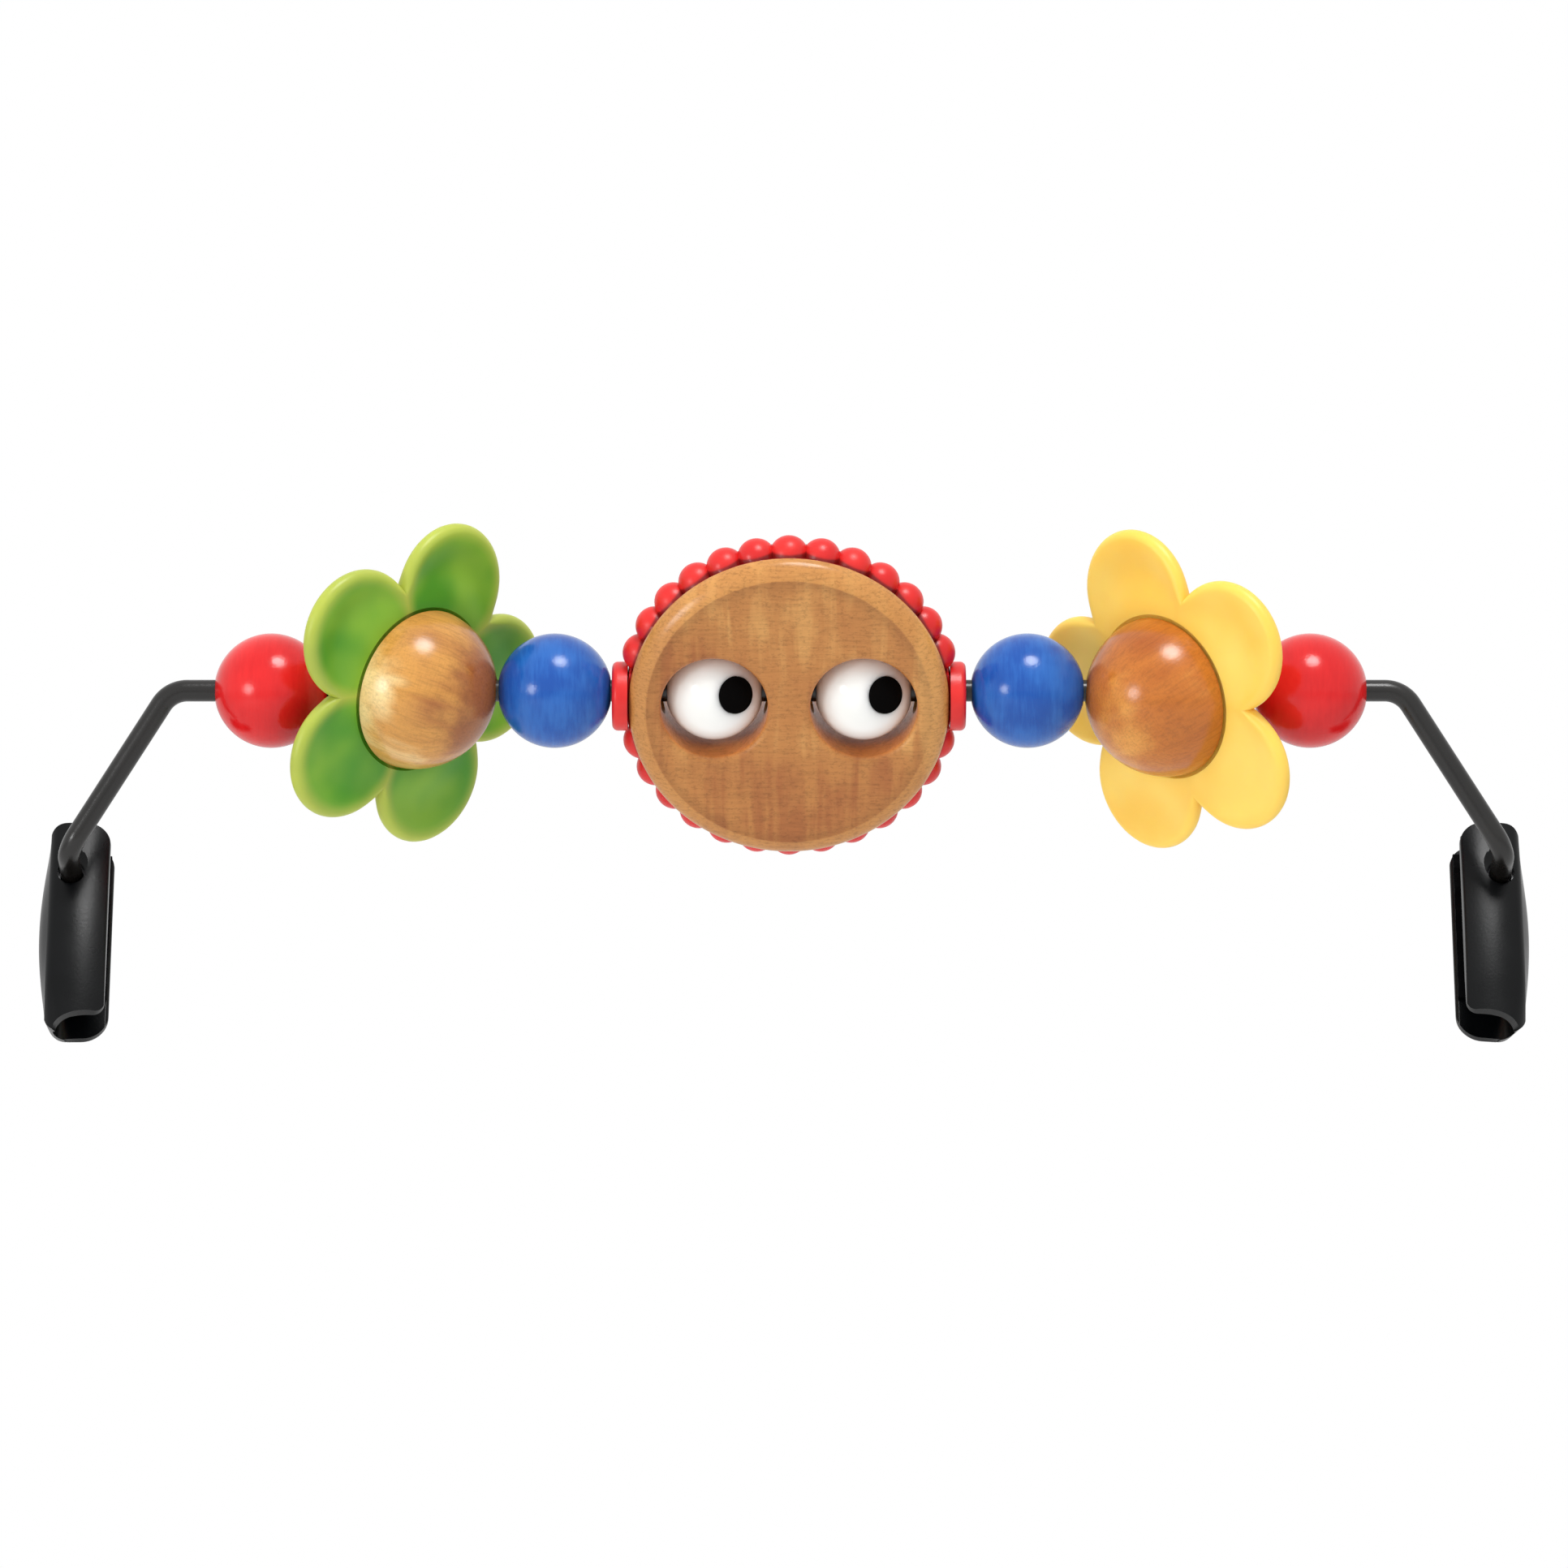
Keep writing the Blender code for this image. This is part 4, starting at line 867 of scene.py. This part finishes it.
def clip_outline(outer_rise, inner_rise, foot, heel, foot_end):
    """An outline of the clip from the front. Its bottom runs from the foot at the flank to the inner heel."""
    inner, ends = -WIDE / 2, WIDE / 2 + BULGE - BARREL
    low_outer, low_inner = CLIP_LOW + outer_rise, CLIP_LOW + inner_rise
    points = arc((inner + CORNER_IN, CLIP_TOP - CORNER_IN), CORNER_IN, math.pi, HALF_PI, 16)
    points += arc((ends - CORNER_OUT, CLIP_TOP - CORNER_OUT), CORNER_OUT, HALF_PI, FLANK_ANGLE, 16)
    barrel_top, barrel_end = CLIP_TOP - CORNER_OUT, low_outer + foot
    points += [(ends + BARREL * math.sin(math.pi * i / 40), barrel_top + (barrel_end - barrel_top) * i / 40)
               for i in range(1, 40)]
    points += arc((ends - foot, low_outer + foot), foot, -FLANK_ANGLE, math.radians(foot_end), 16)
    start, end = points[-1], (inner + heel, low_inner)
    points += [(end[0] + (start[0] - end[0]) * math.cos(HALF_PI * i / 20),
                start[1] + (end[1] - start[1]) * math.sin(HALF_PI * i / 20)) for i in range(1, 20)]
    return points + arc((inner + heel, low_inner + heel), heel, 1.5 * math.pi, math.pi, 12)


def clip_trimmer(side):
    """Sections from beyond the front lip's outline, arched over the mouth, to beyond the back wall's."""
    lip = clip_outline(-2.8 * MM, 4.7 * MM, foot=5.6 * MM, heel=1.8 * MM, foot_end=-53)
    wall = clip_outline(3.2 * MM, 3.2 * MM, foot=5.0 * MM, heel=7.5 * MM, foot_end=-90)
    columns = []
    for depth in (-OVERSHOOT, CLIP_DEEP + OVERSHOOT):
        share = depth / CLIP_DEEP
        columns.append([Vector((side * (x0 + (x1 - x0) * share - PIN_OFFSET), depth, h0 + (h1 - h0) * share))
                        for (x0, h0), (x1, h1) in zip(lip, wall)])
    return columns


def scoop_mesh(side):
    """An egg that hollows the front round the pin hole."""
    bm = bmesh.new()
    bmesh.ops.create_uvsphere(bm, u_segments=64, v_segments=32, radius=1)
    lean = Matrix.Rotation(-side * SCOOP_LEAN, 3, "Y")
    for vert in bm.verts:
        egg = Vector([c * half for c, half in zip(vert.co, SCOOP_HALVES)])
        vert.co = lean @ egg + lean @ Vector((0, 0, SCOOP_RISE)) - Vector((0, SCOOP_OUT, 0))
    return bm


def make_clip(side_name, side, yaw):
    pin = pin_point(side, 0)
    turn = TILT @ Matrix.Rotation(side * math.radians(yaw), 3, "Z")
    top, taper_top, bottom = CLIP_TOP + OVERSHOOT, CLIP_LOW + TAPER, CLIP_LOW - 2 * OVERSHOOT
    levels = [top + (taper_top - top) * i / UPPER_LEVELS for i in range(UPPER_LEVELS)]
    levels += [taper_top + (bottom - taper_top) * i / TAPER_LEVELS for i in range(TAPER_LEVELS + 1)]
    sections = [clip_section(side, height) for height in levels]
    shell = place("clip_" + side_name, skinned(sections, closed=False), turn, pin, CLIP)
    cut(shell, [place("outline", skinned(clip_trimmer(side), closed=False), turn, pin)], "INTERSECT")
    along_pin = TILT @ TO_FRONT
    seat = pin + INTO_CLIP * COUNTERBORE_AT
    cut(shell, [rod("pin_hole", PIN_HOLE, PIN_HOLE_LENGTH, pin, along_pin, 48),
                rod("counterbore", COUNTERBORE, COUNTERBORE_LENGTH, seat, along_pin, 48),
                place("scoop", scoop_mesh(side), turn, pin)])
    weighted(shell)
    dress(shell, "clip_" + side_name, "clip_shell_" + side_name)


def finish_cad(nodes, material):
    """A CAD node that stays as it is gets a procedural material."""
    for name in nodes:
        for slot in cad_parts[name].material_slots:
            slot.material = material


# Stage, light and camera, in metres, watts and shares of white

FLOOR_Z = -0.35
FLOOR_RADIUS = 9
FLOOR_GREY = (0.86, 0.86, 0.86)
FADE_FROM, FADE_TO = 0.35, 1.3
SKY_TOWARD = (-0.42, -0.55, 0.72)
SKY_DIM, SKY_BRIGHT = 0.34, 0.93
LIGHTS_AROUND = Vector((0, 0, 0.04))
LIGHTS_AWAY = 1.6
CAMERA_AWAY = 2.3
CAMERA_LEFT = 0.56 * MM
CAMERA_BELOW = 25.67 * MM


def make_stage():
    """A matt pale floor that fades into white far from the part."""
    bm = bmesh.new()
    bmesh.ops.create_circle(bm, cap_ends=True, segments=96, radius=FLOOR_RADIUS)
    n = Surface("floor", stored=False)
    n.set(Base_Color=FLOOR_GREY, Roughness=0.9, Specular_IOR_Level=0.1)
    distance = n.add("VectorMath", operation="LENGTH")
    n.feed(distance.inputs[0], n.coords)
    fade = n.smoothstep(distance.outputs["Value"], FADE_FROM, FADE_TO)
    mix = n.add("MixShader")
    n.feed(mix.inputs[0], n.math("MULTIPLY", n.add("LightPath").outputs["Is Camera Ray"], fade))
    n.feed(mix.inputs[1], n.shader.outputs[0])
    n.feed(mix.inputs[2], n.add("Emission").outputs[0])
    n.feed(n.tree.nodes["Material Output"].inputs["Surface"], mix.outputs[0])
    floor = place("floor", bm, Matrix.Identity(3), Vector((0, 0, FLOOR_Z)), n.material)


def make_world():
    """White for the camera and in reflections. As a light it is brighter from one side."""
    world = bpy.data.worlds.new("studio")
    bpy.context.scene.world = world
    world.use_nodes = True
    n = Nodes(world.node_tree)
    toward = n.add("VectorMath", operation="DOT_PRODUCT")
    n.feed(toward.inputs[0], n.add("TexCoord").outputs["Generated"])
    n.feed(toward.inputs[1], SKY_TOWARD)
    path = n.add("LightPath").outputs
    seen = path["Is Camera Ray"]
    for kind in ("Is Glossy Ray", "Is Transmission Ray"):
        seen = n.math("MAXIMUM", seen, path[kind])
    strength = n.add("Mix")
    n.feed(strength.inputs[0], seen)
    n.feed(strength.inputs[2], n.smoothstep(toward.outputs["Value"], -1.0, 1.0, SKY_DIM, SKY_BRIGHT))
    n.feed(strength.inputs[3], 1.0)
    background = n.tree.nodes["Background"]
    n.feed(background.inputs["Strength"], strength.outputs[0])
    n.feed(background.inputs["Color"], (1, 1, 1))


def softbox(name, direction, size, watts):
    light = bpy.data.lights.new(name, "AREA")
    light.shape, light.size, light.energy = "DISK", size, watts
    lamp = bpy.data.objects.new(name, light)
    bpy.context.scene.collection.objects.link(lamp)
    toward = Vector(direction).normalized()
    lamp.location = LIGHTS_AROUND + toward * LIGHTS_AWAY
    lamp.rotation_euler = toward.to_track_quat("Z", "Y").to_euler()


def make_camera():
    data = bpy.data.cameras.new("camera")
    data.lens, data.sensor_width = 192.0, 36.0
    data.clip_start, data.clip_end = 0.1, 40.0
    camera = bpy.data.objects.new("camera", data)
    bpy.context.scene.collection.objects.link(camera)
    camera.location = (-CAMERA_LEFT, AXIS_Y - CAMERA_AWAY, AXIS_Z - CAMERA_BELOW)
    camera.rotation_euler = (HALF_PI, 0, 0)
    bpy.context.scene.camera = camera


make_wire()
make_bead("red_bead_left", RED_LEFT_X, RED, spin=0.4)
make_bead("blue_bead_left", BLUE_LEFT_X, BLUE, spin=1.9)
make_bead("blue_bead_right", BLUE_RIGHT_X, BLUE, spin=3.7)
make_bead("red_bead_right", RED_RIGHT_X, RED, spin=5.2)
make_flower("green", GREEN_X, rise=0.9 * MM, swing=43.7, droop=21.7, phase=62.3, plastic=GREEN,
            timber=BEECH, grain=(0.93, 0.15, -0.33))
make_flower("yellow", YELLOW_X, rise=-1.2 * MM, swing=-43.7, droop=20.4, phase=42.0, plastic=YELLOW,
            timber=DARK_BEECH, grain=(0.8, 0.2, 0.5))
make_disc()
make_ring()
for side_name, side, yaw in (("left", -1, 0), ("right", 1, 7)):
    make_eye(side_name, side)
    make_clip(side_name, side, yaw)
finish_cad(["clip_front_pad_left", "clip_back_pad_left", "clip_front_pad_right", "clip_back_pad_right"], PAD)
finish_cad(["wire_retainer_left", "wire_retainer_right"], STEEL)
make_stage()
make_world()
softbox("key", (0.137, -0.462, 0.872), size=0.6, watts=15)
softbox("side", (-0.733, -0.678, 0.055), size=0.44, watts=5.5)
make_camera()
bpy.context.scene.view_settings.view_transform = "Standard"
